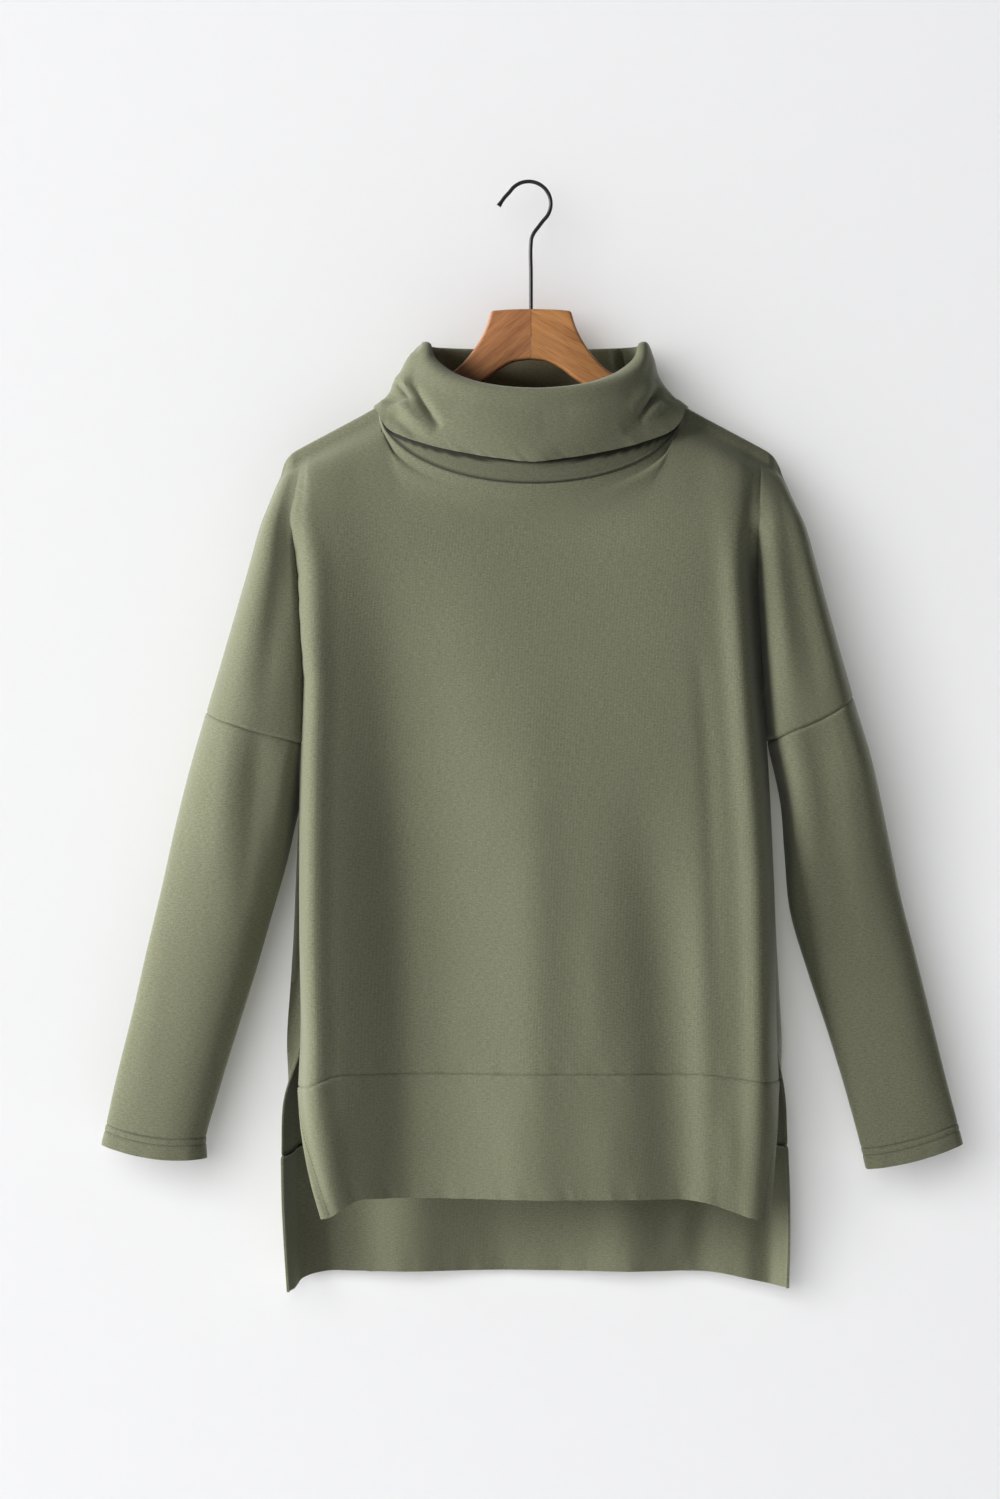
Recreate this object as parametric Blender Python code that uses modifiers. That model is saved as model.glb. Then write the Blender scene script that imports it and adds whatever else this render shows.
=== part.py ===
"""Knit tunic with a turned-down cowl collar, hung on a two-piece wooden hanger with a wire hook.

Metres, +Z up, front towards -Y. The origin is the inner top of the hook, where a rod
along Y carries the hanger. The cloth is cut as front, back, two hem bands, two sleeves
and one collar tube. Each piece is an open surface, given its wall by Solidify, and
neighbours keep SEAM_GAP between them. The tables give sizes in millimetres.
"""
import math
from collections import namedtuple

import bmesh
import bpy
from mathutils import Vector

MM = 0.001

# ---- cloth ----
CLOTH = 0.0016           # single jersey wall
DOUBLE_CLOTH = 0.0026    # hem bands and collar are folded double
SEAM_GAP = 0.0003        # between pieces that are sewn together
NECK_HALF = 131.0        # half width of the neckline, shoulder seam to shoulder seam
NECK_Z = -195.5          # shoulder seam's end at the neckline
NECK_DROP = {"front": 68.0, "back": 9.0}
NECK_OUT = {"front": 45.0, "back": 34.0}
NECK_TURN = math.radians(15)   # angle at which the neckline has crossed the shoulder
NECK_CROSS = (9.6, 1.5)        # how far out and down it is there
SHOULDER_ROUND = 8.4     # how far the panels stand off the hanger's middle plane
YOKE_Z = -300.0          # below this the panels' sections are level
UNDERARM_Z = {"left": -489.0, "right": -485.0}
ARMHOLE_Z = {"left": -460.0, "right": -446.0}
SLIT_Z = -748.0          # top of the side slits

# ---- hanger ----
WOOD = 0.013             # thickness of the arms
WOOD_ROUND = 0.0018      # rounded edges of the arms
MITRE_GAP = 0.0003       # between the halves
WIRE = 0.0034            # diameter of the hook's wire
HOOK_REACH = 0.0194      # middle of the hook's bow, centre of the wire to the axis
STEM_DEPTH = 0.024       # how far the stem goes into the wood
STEM_CLEAR = 0.0003      # around the stem in its bore

# Shoulder line, one side, along the inside of the cloth
Line = namedtuple("Line", "x z")
SHOULDER = [
    Line(131.0, -195.5), Line(165.5, -213.95), Line(200.0, -232.4), Line(207.5, -237.2),
    Line(212.5, -243.2), Line(215.5, -250.5),
]

# Sections of the front and back at falling heights. edge: fold over the arm. side: the
# line from the armpit, which is the side seam lower down. nose: the outermost part of the
# body's fold. crest: where that fold turns into the face. y: distance from the middle plane.
Section = namedtuple(
    "Section",
    "z edge_l edge_r side_l side_r nose_l nose_r arm_y side_y nose_y crest_y centre_y",
)
FRONT = [
    Section(-250, -215, 216, -206, 204, -201, 192, 8, 8, 10, 13, 40),
    Section(-300, -234, 236, -204, 203, -197, 187, 14, 10, 16, 22, 41),
    Section(-372, -255, 256, -196, 200, -193, 190, 25, 10, 23, 33, 44),
    Section(-430, -272, 272, -190, 199, -193, 194, 36, 7, 25, 41, 47),
    Section(-489, -288, 288, -187, 196, -197, 200, 43, 0, 24, 44, 49),
    Section(-540, -288, 288, -190, 200, -198, 203, 43, 0, 23, 44, 50),
    Section(-600, -288, 288, -195, 205, -199, 206, 43, 0, 21, 43, 50),
    Section(-670, -288, 288, -198, 209, -199, 209, 43, 0, 19, 41, 50),
    Section(-748, -288, 288, -199, 212, -197, 210, 43, 0, 17, 39, 50),
    Section(-784, -288, 288, -200, 213, -197, 210, 43, 3, 19, 39, 50),
    Section(-820, -288, 288, -196, 210, -192, 207, 43, 8, 22, 39, 50),
    Section(-860, -288, 288, -188, 206, -183, 202, 43, 13, 26, 40, 50),
    Section(-900, -288, 288, -177, 202, -171, 197, 43, 17, 28, 40, 50),
]
BACK = [
    Section(-250, -215, 216, -206, 204, -198, 194, 8, 8, 9, 10, 30),
    Section(-300, -234, 236, -202, 202, -192, 190, 13, 9, 13, 17, 29),
    Section(-372, -255, 256, -195, 197, -188, 190, 22, 8, 19, 25, 29),
    Section(-430, -272, 272, -190, 197, -190, 194, 30, 6, 20, 30, 30),
    Section(-489, -288, 288, -187, 196, -197, 201, 36, 0, 20, 33, 31),
    Section(-540, -288, 288, -190, 200, -201, 206, 36, 0, 20, 34, 32),
    Section(-600, -288, 288, -195, 205, -204, 210, 36, 0, 19, 34, 33),
    Section(-670, -288, 288, -198, 209, -207, 214, 36, 0, 19, 34, 34),
    Section(-748, -288, 288, -199, 212, -212, 218, 36, 0, 18, 33, 35),
    Section(-784, -288, 288, -212, 219, -210, 217, 36, 4, 19, 33, 35),
    Section(-840, -288, 288, -216, 222, -212, 219, 36, 6, 20, 33, 35),
    Section(-900, -288, 288, -215, 224, -211, 220, 36, 7, 20, 33, 35),
    Section(-965, -288, 288, -211, 223, -207, 219, 36, 8, 20, 33, 35),
]

# Hanging folds of the faces: where each runs at the chest and at the hem, the heights
# where it starts and is full, its half width, and how far it stands out (or goes in, if
# negative).
Fold = namedtuple("Fold", "x_chest x_hem z_start z_full width out")
FRONT_FOLDS = [
    Fold(-150, -124, -400, -720, 42, -13),
    Fold(-4, 3, -440, -700, 30, 6),
    Fold(98, 119, -520, -760, 26, -10),
    Fold(142, 150, -600, -800, 13, 3),
]
BACK_FOLDS = [
    Fold(-120, -108, -420, -800, 34, -7),
    Fold(-30, -24, -480, -820, 30, 4),
    Fold(70, 84, -440, -780, 36, -8),
    Fold(146, 150, -560, -860, 18, 3),
]

# Lower edges of the panels and of their bands, across the width: centre, at the corners,
# and how wide each drooping corner is.
Hem = namedtuple("Hem", "middle left right corner")
FRONT_SEAM = Hem(-771.5, -784.0, -779.0, 45.0)
FRONT_HEM = Hem(-878.5, -894.5, -896.0, 42.0)
BACK_SEAM = Hem(-833.0, -847.0, -838.0, 30.0)
BACK_HEM = Hem(-950.5, -966.0, -962.0, 34.0)

# Sleeve rings below the armhole: height and tilt of the ring (rise of its outer side), the
# outer and inner edges, the half depth front to back, and how far its middle hangs lower.
Ring = namedtuple("Ring", "z tilt outer inner depth sag")
SLEEVES = {
    "left": [
        Ring(-530, 24, -297, -203, 38, 0), Ring(-571, 22, -307.8, -211.5, 34, 0),
        Ring(-624, 19, -320.3, -226, 29, 0), Ring(-676, 17, -333, -240.5, 25, 0),
        Ring(-730, 15, -345.5, -257, 22, 0), Ring(-790, 14, -360.5, -275, 18, 0),
        Ring(-826, 12, -368.5, -284, 15, 3), Ring(-842, 11, -372.0, -283.5, 14, 5),
    ],
    "right": [
        Ring(-530, 24, 294.5, 207, 38, 0), Ring(-571, 22, 305.5, 212, 34, 0),
        Ring(-624, 19, 318.3, 225.5, 29, 0), Ring(-676, 18, 331.3, 242, 25, 0),
        Ring(-730, 18, 344.8, 260, 22, 0), Ring(-790, 18, 359.8, 278, 18, 0),
        Ring(-828, 20, 369.5, 288.5, 15, 2), Ring(-846, 21, 373.5, 293.0, 14, 3),
    ],
}

# Collar: from the neckline up its stand, over the roll and down to the free edge.
Collar = namedtuple("Collar", "half side_z front_y front_z back_y back_z")
COLLAR = [
    Collar(118.5, -186.4, 45.5, -251, 35.0, -197),
    Collar(108.0, -179.2, 45.5, -231, 35.5, -182),
    Collar(103.5, -165.0, 45.0, -208, 35.0, -162),
    Collar(98.5, -151.0, 45.0, -191, 34.5, -147),
    Collar(97.3, -145.5, 46.5, -184, 35.5, -142),
    Collar(101.0, -145.0, 51.5, -184, 40.0, -142),
    Collar(107.5, -157.5, 54.0, -202, 42.5, -160),
    Collar(112.3, -174.5, 54.5, -222, 42.5, -182),
    Collar(122.5, -183.5, 54.5, -236, 42.0, -198),
    Collar(135.0, -193.0, 54.0, -246, 41.5, -207),
]

COLLAR_CROSS = 14.0   # half depth of the collar's flat sides, where it crosses the shoulder

# Folds gathered at the collar's sides: angle round the neck (0 is the viewer's right,
# 90 the front), the row of COLLAR they sit on, half widths, and how far they stand out.
Gather = namedtuple("Gather", "angle row wide tall out")
GATHERS = [
    Gather(28, 7.6, 13, 0.8, 2.4), Gather(40, 7.0, 12, 0.7, -1.8),
    Gather(152, 7.6, 13, 0.8, 2.6), Gather(139, 7.0, 12, 0.7, -1.8),
    Gather(332, 7.4, 12, 0.8, 2.0), Gather(206, 7.4, 12, 0.8, 2.0),
]

# Hanger half, outline of its top from the mitre to the tip and of its underside back.
WOOD_TOP = [
    Line(0, -109.7), Line(20, -110.2), Line(34.8, -111.4), Line(38.5, -124), Line(43, -134),
    Line(52, -148), Line(64.5, -161.5), Line(80, -170.4), Line(105, -184.0),
    Line(131.0, -197.6), Line(150.0, -206.3), Line(200.0, -233.0), Line(204.5, -236.6),
]
WOOD_TIP = [Line(207.5, -242), Line(207.8, -248), Line(204.5, -252.5), Line(198, -254)]
WOOD_UNDER = [
    Line(180, -247), Line(155, -235.5), Line(131, -224), Line(105, -210.5), Line(80, -196),
    Line(60, -184), Line(46, -175), Line(38, -170), Line(27, -161.5), Line(14, -155),
    Line(0, -153.2),
]


# ---------------------------------------------------------------- curves and tables
def mix(a, b, t):
    return a + (b - a) * t


def soft(t):
    t = min(max(t, 0.0), 1.0)
    return t * t * (3 - 2 * t)


def through(rows, key, name, value):
    """The named column of a table at a value of its key column, on a smooth curve."""
    ks = [getattr(r, key) for r in rows]
    vs = [getattr(r, name) for r in rows]
    if ks[0] > ks[-1]:
        ks, vs, value = [-k for k in ks], list(vs), -value
    value = min(max(value, ks[0]), ks[-1])
    i = max(j for j in range(len(ks) - 1) if ks[j] <= value)

    def slope(j):
        lo, hi = max(j - 1, 0), min(j + 1, len(ks) - 1)
        return (vs[hi] - vs[lo]) / (ks[hi] - ks[lo])

    step = ks[i + 1] - ks[i]
    t = (value - ks[i]) / step
    return (
        (2 * t**3 - 3 * t**2 + 1) * vs[i]
        + (t**3 - 2 * t**2 + t) * step * slope(i)
        + (-2 * t**3 + 3 * t**2) * vs[i + 1]
        + (t**3 - t**2) * step * slope(i + 1)
    )


def bell(distance, width):
    return math.exp(-((distance / width) ** 2))


def hem_z(hem, x, left, right):
    """Height of a lower edge at x, with its drooping corners."""
    near_left = soft(1 - (x - left) / hem.corner) ** 1.5
    near_right = soft(1 - (right - x) / hem.corner) ** 1.5
    return (
        hem.middle
        + (hem.left - hem.middle) * near_left
        + (hem.right - hem.middle) * near_right
    )


def round_neck(turn):
    """Shares for a point at an angle round the neck (0 at the right, 90 degrees at the
    front): how far it has crossed the shoulder, then out to the side and to the front."""
    from_side = min(turn % math.pi, math.pi - turn % math.pi)
    crossed = min(from_side / NECK_TURN, 1.0)
    lean = max(from_side - NECK_TURN, 0.0) / (math.pi / 2 - NECK_TURN) * math.pi / 2
    aside = math.copysign(math.cos(lean), math.cos(turn))
    return crossed, aside, math.sin(lean)


def neckline(near, turn):
    """x, distance from the middle plane and z of the neckline seam."""
    crossed, aside, ahead = round_neck(turn)
    out, down = NECK_CROSS
    return Vector((
        NECK_HALF * aside,
        out * crossed + (NECK_OUT[near] - out) * ahead,
        NECK_Z - down * crossed - (NECK_DROP[near] - down) * ahead,
    ))


# ---------------------------------------------------------------- panels
ARM_STEPS = 8     # columns over each arm
ARMPIT_CLEAR = 3.7   # how far a sleeve keeps outside the body at the armpit
FACE_STEPS = 18   # columns across the face between the crests
NECK_AT = 3       # face column that ends at the neckline
ARM_SHAPE = [(0.0, 0.0), (0.03, 0.33), (0.12, 0.65), (0.25, 0.88), (0.40, 0.99),
             (0.56, 0.96), (0.73, 0.80), (0.86, 0.48), (1.0, 0.0)]
# Over the shoulder's round: out, down, and down where the neckline is clear of it
OVER_TOP = [(0.0, 0.0, 0.0), (0.62, 0.01, 0.3), (0.92, 0.25, 0.65), (1.0, 1.0, 1.0)]
YOKE_ROWS = [0.22, 0.55, 1.0]       # from there to the yoke line
ARM_ROWS = [0.2, 0.4, 0.6, 0.8, 1.0]
BODY_ROWS = [-540, -600, -650, -700, -748]


class Panel:
    """The front or the back, as a surface over named columns and heights."""

    def __init__(self, name, sections, folds, sign, seam, hem):
        self.name, self.sections, self.folds = name, sections, folds
        self.sign, self.seam, self.hem = sign, seam, hem
        self.columns = self.column_names()

    def column_names(self):
        left = [("arm", "left", i) for i in range(ARM_STEPS)]
        right = [("arm", "right", i) for i in reversed(range(ARM_STEPS))]
        face = [("face", "", i) for i in range(FACE_STEPS + 1)]
        return (
            left + [(kind, "left", 0) for kind in ("side", "flank", "nose")] + face
            + [(kind, "right", 0) for kind in ("nose", "flank", "side")] + right
        )

    def get(self, name, z):
        return through(self.sections, "z", name, z)

    def crest_x(self, side, z):
        inward = 9.0 if side == "left" else -9.0
        return self.get("nose_" + side[0], z) + inward

    def fold_out(self, x, z):
        total = 0.0
        for f in self.folds:
            middle = mix(f.x_chest, f.x_hem, (z + 450) / (-450))
            grown = soft((z - f.z_start) / (f.z_full - f.z_start))
            total += f.out * grown * bell(x - middle, f.width)
        return total

    def at(self, column, z):
        """x and the distance from the middle plane of a column at a level height."""
        kind, side, i = column
        if kind == "face":
            left, right = self.crest_x("left", z), self.crest_x("right", z)
            t = i / FACE_STEPS
            x = mix(left, right, t)
            crown = 1 - abs(2 * t - 1) ** 2.4
            fade = soft(min(t, 1 - t) * 9)
            y = mix(self.get("crest_y", z), self.get("centre_y", z), crown)
            return x, y + fade * self.fold_out(x, z)
        letter = side[0]
        if kind == "nose":
            return self.get("nose_" + letter, z), self.get("nose_y", z)
        armpit = self.get("side_" + letter, z)
        if kind == "side":
            return armpit, self.get("side_y", z)
        if kind == "flank":
            nose, shift = self.get("nose_" + letter, z), 0.35 * soft((z + 489) / 120)
            y = mix(self.get("side_y", z), self.get("nose_y", z), 0.5)
            return mix(armpit, nose, shift), y
        across, depth = ARM_SHAPE[i]
        x = mix(self.get("edge_" + letter, z), armpit, across)
        base = self.get("side_y", z) * across**2
        return x, base + (self.get("arm_y", z) - base) * depth

    def armhole_z(self, column):
        kind, side, i = column
        if kind != "arm":
            if kind == "face":
                return mix(UNDERARM_Z["left"], UNDERARM_Z["right"], i / FACE_STEPS)
            return UNDERARM_Z[side]
        return mix(ARMHOLE_Z[side], UNDERARM_Z[side], ARM_SHAPE[i][0] ** 0.75)

    def top(self, column):
        """Where a column starts, on the shoulder seam or the neckline."""
        kind, side, i = column
        tip = SHOULDER[-1].x
        if kind == "face" and NECK_AT <= i <= FACE_STEPS - NECK_AT:
            return neckline(self.name, math.pi * (1 - (i - NECK_AT) / (
                FACE_STEPS - 2 * NECK_AT)))
        if kind == "face":
            from_neck = min(i, FACE_STEPS - i)
            x = mix(191.0, NECK_HALF, from_neck / NECK_AT)
            sign = -1 if i < FACE_STEPS / 2 else 1
        else:
            order = i + {"arm": 0, "side": 8, "flank": 9, "nose": 10}[kind]
            x = mix(tip, 191.0, order / (ARM_STEPS + 3))
            sign = -1 if side == "left" else 1
        return Vector((sign * x, 0.0, through(SHOULDER, "x", "z", x)))

    def upper(self, column, over, drop):
        """A point between the top seam and the yoke line: a step over the hanger's top,
        then drop as a share of the way down."""
        start = self.top(column)
        x_low, y_low = self.at(column, YOKE_Z)
        kind, side, i = column
        spread = ARM_SHAPE[i][1] if kind == "arm" and i < 4 else 1.0
        out, on_wood, free = over
        down = free if start.y > SHOULDER_ROUND else on_wood
        stand = max(start.y, SHOULDER_ROUND * spread)
        y = mix(start.y, stand, out)
        z = start.z - SHOULDER_ROUND * down * mix(0.4, 1.0, spread)
        x = start.x
        if drop > 0:
            x = mix(x, x_low, drop)
            y = mix(y, y_low, soft(drop) if start.y < 20 else drop)
            z = mix(z, YOKE_Z, drop)
        if kind == "arm" and i == 0:
            x = self.get("edge_" + side[0], z)
        return x, y, z

    def place(self, x, y, z):
        keep = SEAM_GAP / MM / 2
        return Vector((x, self.sign * max(y, keep), z)) * MM

    def lower_z(self, column, level, edge):
        """Height of a column on the panel's lower edge or below it."""
        x, _ = self.at(column, level)
        left, right = self.get("side_l", level), self.get("side_r", level)
        return hem_z(edge, x, left, right)

    def rows(self):
        """The grid of points, with None where a row has no arm."""
        grid = []
        steps = [(over, 0) for over in OVER_TOP]
        steps += [(OVER_TOP[-1], drop) for drop in YOKE_ROWS]
        for over, drop in steps:
            grid.append([self.place(*self.upper(c, over, drop)) for c in self.columns])
        for share in ARM_ROWS:
            row = []
            for c in self.columns:
                z = mix(YOKE_Z, self.armhole_z(c), share)
                row.append(self.place(*self.at(c, z), z))
            grid.append(row)
        for z in BODY_ROWS:
            grid.append(self.body_row(lambda c, z=z: z))
        for share in ((1.0,) if self.name == "front" else (0.5, 1.0)):
            grid.append(self.body_row(lambda c, s=share: mix(
                SLIT_Z, self.lower_z(c, self.seam.middle, self.seam), s)))
        return grid

    def body_row(self, height):
        row = []
        for c in self.columns:
            z = height(c)
            row.append(None if c[0] == "arm" else self.place(*self.at(c, z), z))
        return row

    def band_rows(self):
        """The hem band's points, from just under its seam to the hem."""
        grid = []
        for share in (0.0, 0.35, 0.7, 1.0):
            def height(c, s=share):
                top = self.lower_z(c, self.seam.middle, self.seam) - SEAM_GAP / MM
                return mix(top, self.lower_z(c, self.hem.middle, self.hem), s)
            grid.append(self.body_row(height))
        return grid

    def armhole(self, side):
        """The armhole's lower row on this panel, from the overarm fold to the armpit."""
        picked = [c for c in self.columns if c[0] in ("arm", "side") and c[1] == side]
        picked.sort(key=lambda c: ARM_STEPS if c[0] == "side" else c[2])
        points = []
        for c in picked:
            z = self.armhole_z(c)
            points.append(self.place(*self.at(c, z), z))
        return points


# ---------------------------------------------------------------- building
def clear_scene():
    for obj in list(bpy.data.objects):
        bpy.data.objects.remove(obj, do_unlink=True)


def material(name, colour, roughness, metallic=0.0):
    mat = bpy.data.materials.new(name)
    mat.use_nodes = True
    shader = mat.node_tree.nodes["Principled BSDF"]
    shader.inputs["Base Color"].default_value = (*colour, 1)
    shader.inputs["Roughness"].default_value = roughness
    shader.inputs["Metallic"].default_value = metallic
    return mat


def add_object(name, mesh, mat, home):
    obj = bpy.data.objects.new(name, mesh)
    obj.data.materials.append(mat)
    home.objects.link(obj)
    return obj


def sheet_from_grid(name, grid, mat, home, wall, offset, closed=False, flip=False):
    """An open surface through a grid of points, with its wall added by Solidify."""
    bm = bmesh.new()
    made = [[None if p is None else bm.verts.new(p) for p in row] for row in grid]
    for upper, lower in zip(made, made[1:]):
        count = len(upper)
        for i in range(count if closed else count - 1):
            j = (i + 1) % count
            corners = [upper[i], lower[i], lower[j], upper[j]]
            if None not in corners:
                bm.faces.new(corners[::-1] if flip else corners)
    mesh = bpy.data.meshes.new(name)
    bm.to_mesh(mesh)
    bm.free()
    mesh.shade_smooth()
    obj = add_object(name, mesh, mat, home)
    solid = obj.modifiers.new("Wall", "SOLIDIFY")
    solid.thickness = wall
    solid.offset = offset
    solid.use_even_offset = True
    solid.thickness_clamp = 0.0
    return obj


def sleeve_grid(side, front, back):
    """Rings of a sleeve: the first follows the armhole, the last is the cuff."""
    start = front.armhole(side) + back.armhole(side)[-2:0:-1]
    start[0].y = 0.0
    start[ARM_STEPS].y = 0.0
    rings = SLEEVES[side]
    count = len(start)
    out = -1 if side == "left" else 1
    along = Vector((out * 0.22, 0.0, -0.975)) * SEAM_GAP * 1.3
    first = []
    for k, p in enumerate(start):
        from_pit = abs(k - ARM_STEPS)
        aside = ARMPIT_CLEAR * MM * bell(from_pit, 1.5) * out
        first.append(p + along + Vector((aside, 0, 0)))
    grid = [first]
    for ring in rings:
        row = []
        for k in range(count):
            turn = 2 * math.pi * k / count
            middle, half = (ring.outer + ring.inner) / 2, (ring.outer - ring.inner) / 2
            side_ways = math.cos(turn)
            flat = math.sin(turn)
            bulge = math.copysign(abs(flat) ** 0.9, flat)
            row.append(Vector((
                middle + half * side_ways,
                -ring.depth * bulge,
                ring.z + ring.tilt * side_ways / 2 - ring.sag * flat**2,
            )) * MM)
        share = soft((ring.z + 489) / (-140))
        if share < 1:
            fallen = [Vector((0, 0, (ring.z + 475) * MM)) + p for p in start]
            shift = Vector(((ring.outer * MM - start[0].x), 0, 0))
            row = [mix(f + shift, r, share) for f, r in zip(fallen, row)]
        grid.append(row)
    return grid


def collar_grid():
    """Rings of the collar, starting just inside the neckline."""
    count = 2 * (FACE_STEPS - 2 * NECK_AT)
    turns = [2 * math.pi * k / count for k in range(count)]
    base = []
    for turn in turns:
        near, sign = ("front", -1) if turn < math.pi else ("back", 1)
        p = neckline(near, turn)
        side = abs(math.cos(turn))
        p.x -= math.copysign(0.8 * side**2, p.x)
        p.y = sign * (p.y + CLOTH / MM / 2 * min(p.y / 5, 1))
        p.z += 0.4 + 0.5 * side**4
        base.append(p * MM)
    grid = [base]
    for j, ring in enumerate(COLLAR):
        row = []
        for turn in turns:
            crossed, aside, ahead = round_neck(turn)
            depth, low, sign = ring.back_y, ring.back_z, 1
            if turn < math.pi:
                depth, low, sign = ring.front_y, ring.front_z, -1
            flat = COLLAR_CROSS * crossed
            p = Vector((
                (ring.half - 1.5 * crossed * abs(aside)) * aside,
                sign * (flat + (depth - COLLAR_CROSS) * ahead),
                mix(ring.side_z, low, ahead),
            ))
            out = sum(
                g.out * bell(math.degrees(turn) - g.angle, g.wide) * bell(j - g.row, g.tall)
                for g in GATHERS
            )
            ways = Vector((p.x / ring.half**2, p.y / depth**2, 0)).normalized()
            row.append((p + ways * out) * MM)
        grid.append(row)
    return grid


def hanger_half(side, mat, home):
    """A flat outline, given the arm's thickness by Solidify and rounded by Bevel."""
    out = -1 if side == "left" else 1
    outline = WOOD_TOP + WOOD_TIP + WOOD_UNDER
    bm = bmesh.new()
    ring = []
    for p in outline:
        x = max(p.x * MM, MITRE_GAP / 2)
        ring.append(bm.verts.new((out * x, 0.0, p.z * MM)))
    bm.faces.new(ring)
    bmesh.ops.recalc_face_normals(bm, faces=bm.faces)
    name = "hanger_" + side
    mesh = bpy.data.meshes.new(name)
    bm.to_mesh(mesh)
    bm.free()
    obj = add_object(name, mesh, mat, home)
    solid = obj.modifiers.new("Thickness", "SOLIDIFY")
    solid.thickness = WOOD
    solid.offset = 0.0
    round_off = obj.modifiers.new("Rounded edges", "BEVEL")
    round_off.width = WOOD_ROUND
    round_off.segments = 2
    round_off.limit_method = "ANGLE"
    round_off.angle_limit = math.radians(50)
    return obj


def bore_cutter(home):
    bpy.ops.mesh.primitive_cylinder_add(
        vertices=16, radius=WIRE / 2 + STEM_CLEAR, depth=STEM_DEPTH * 2,
        location=(0, 0, WOOD_TOP[0].z * MM),
    )
    cutter = bpy.context.object
    cutter.name = "stem_bore"
    for old in list(cutter.users_collection):
        old.objects.unlink(cutter)
    home.objects.link(cutter)
    cutter.hide_render = True
    cutter.display_type = "WIRE"
    return cutter


def hook_points():
    """Middle of the wire: the tip, round the bow, and down the stem."""
    points = [(-0.0281, -0.0196), (-0.0228, -0.0120)]
    middle_x, middle_z = -0.0021, WIRE / 2 - HOOK_REACH
    for degrees in range(148, -49, -14):
        turn = math.radians(degrees)
        points.append((
            middle_x + HOOK_REACH * math.cos(turn), middle_z + HOOK_REACH * math.sin(turn)))
    points += [(0.0065, -0.0378), (0.0024, -0.0434), (0.0004, -0.0480), (0.0, -0.052)]
    points += [(0.0, -0.08), (0.0, WOOD_TOP[0].z * MM - STEM_DEPTH + 0.0006)]
    return points


def hook(mat, home):
    """A bent wire: a poly curve with a round bevel and a slightly thicker tip."""
    data = bpy.data.curves.new("hanger_hook", "CURVE")
    data.dimensions = "3D"
    data.bevel_depth = WIRE / 2
    data.bevel_resolution = 2
    data.use_fill_caps = True
    line = data.splines.new("POLY")
    points = hook_points()
    line.points.add(len(points) - 1)
    for k, (x, z) in enumerate(points):
        line.points[k].co = (x, 0.0, z, 1)
        line.points[k].radius = 1.3 if k == 0 else 1.0
    return add_object("hanger_hook", data, mat, home)


def build():
    clear_scene()
    home = bpy.data.collections.new("cowl_neck_tunic")
    cutters = bpy.data.collections.new("cutters")
    for group in (home, cutters):
        bpy.context.scene.collection.children.link(group)
    jersey = material("sage_jersey", (0.155, 0.165, 0.105), 0.9)
    wood = material("beech", (0.36, 0.17, 0.075), 0.5)
    black = material("black_wire", (0.02, 0.02, 0.02), 0.4, 0.6)

    front = Panel("front", FRONT, FRONT_FOLDS, -1, FRONT_SEAM, FRONT_HEM)
    back = Panel("back", BACK, BACK_FOLDS, 1, BACK_SEAM, BACK_HEM)
    for panel in (front, back):
        flip = panel.sign > 0
        sheet_from_grid(panel.name, panel.rows(), jersey, home, CLOTH, 1.0, flip=flip)
        sheet_from_grid(
            panel.name + "_band", panel.band_rows(), jersey, home, DOUBLE_CLOTH, 0.7,
            flip=flip)
    for side in ("left", "right"):
        sheet_from_grid(
            "sleeve_" + side, sleeve_grid(side, front, back), jersey, home, CLOTH, 1.0,
            closed=True, flip=side == "right")
    sheet_from_grid(
        "collar", collar_grid(), jersey, home, DOUBLE_CLOTH, 0.0, closed=True)

    cutter = bore_cutter(cutters)
    for side in ("left", "right"):
        half = hanger_half(side, wood, home)
        cut = half.modifiers.new("Stem bore", "BOOLEAN")
        cut.object = cutter
        cut.solver = "EXACT"
    hook(black, home)


build()
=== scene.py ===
# %% [markdown]
# # A cowl neck tunic on a wooden hanger
# The tunic is a fine, stable knit. It is cut as a front, a back, two doubled hem bands,
# two sleeves and one doubled collar tube, and it hangs on a flat beech hanger with a black
# wire hook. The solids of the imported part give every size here. This lesson lays a thin,
# smooth sheet of cloth over each of them, adds the small folds, seams and stitches that a
# plain solid can't carry, and then gives the cloth, the wood and the wire their finish.
#
# The frame is in metres: +Z is up, the front faces -Y, and the origin is the inner top of
# the hook. The tables are in millimetres, as a pattern cutter would write them.

import copy
import math
from collections import namedtuple

import bmesh
import bpy
import numpy as np
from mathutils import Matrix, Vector


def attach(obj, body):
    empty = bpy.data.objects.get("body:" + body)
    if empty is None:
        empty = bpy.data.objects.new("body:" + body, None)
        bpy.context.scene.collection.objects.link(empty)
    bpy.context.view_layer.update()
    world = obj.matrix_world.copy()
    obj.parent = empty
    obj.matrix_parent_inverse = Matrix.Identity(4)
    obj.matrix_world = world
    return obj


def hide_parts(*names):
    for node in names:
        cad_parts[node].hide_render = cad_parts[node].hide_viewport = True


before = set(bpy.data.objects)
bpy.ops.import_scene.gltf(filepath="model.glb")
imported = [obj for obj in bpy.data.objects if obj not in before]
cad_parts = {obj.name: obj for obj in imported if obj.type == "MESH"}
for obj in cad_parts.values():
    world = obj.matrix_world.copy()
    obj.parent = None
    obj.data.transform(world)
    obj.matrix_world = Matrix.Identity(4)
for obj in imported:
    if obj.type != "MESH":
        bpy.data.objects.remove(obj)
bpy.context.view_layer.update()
print("nodes of the frame:", sorted(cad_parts))

# %% [markdown]
# ## The sizes of the cut
# Real cloth is drawn flat, but a garment that hangs is easier to describe by where its
# edges end up. So each table is a row of sections at falling heights: where the fold over
# the arm lies, where the side seam lies, and how far the cloth stands off the middle plane.
# A smooth curve through each column then gives any height in between.

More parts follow.
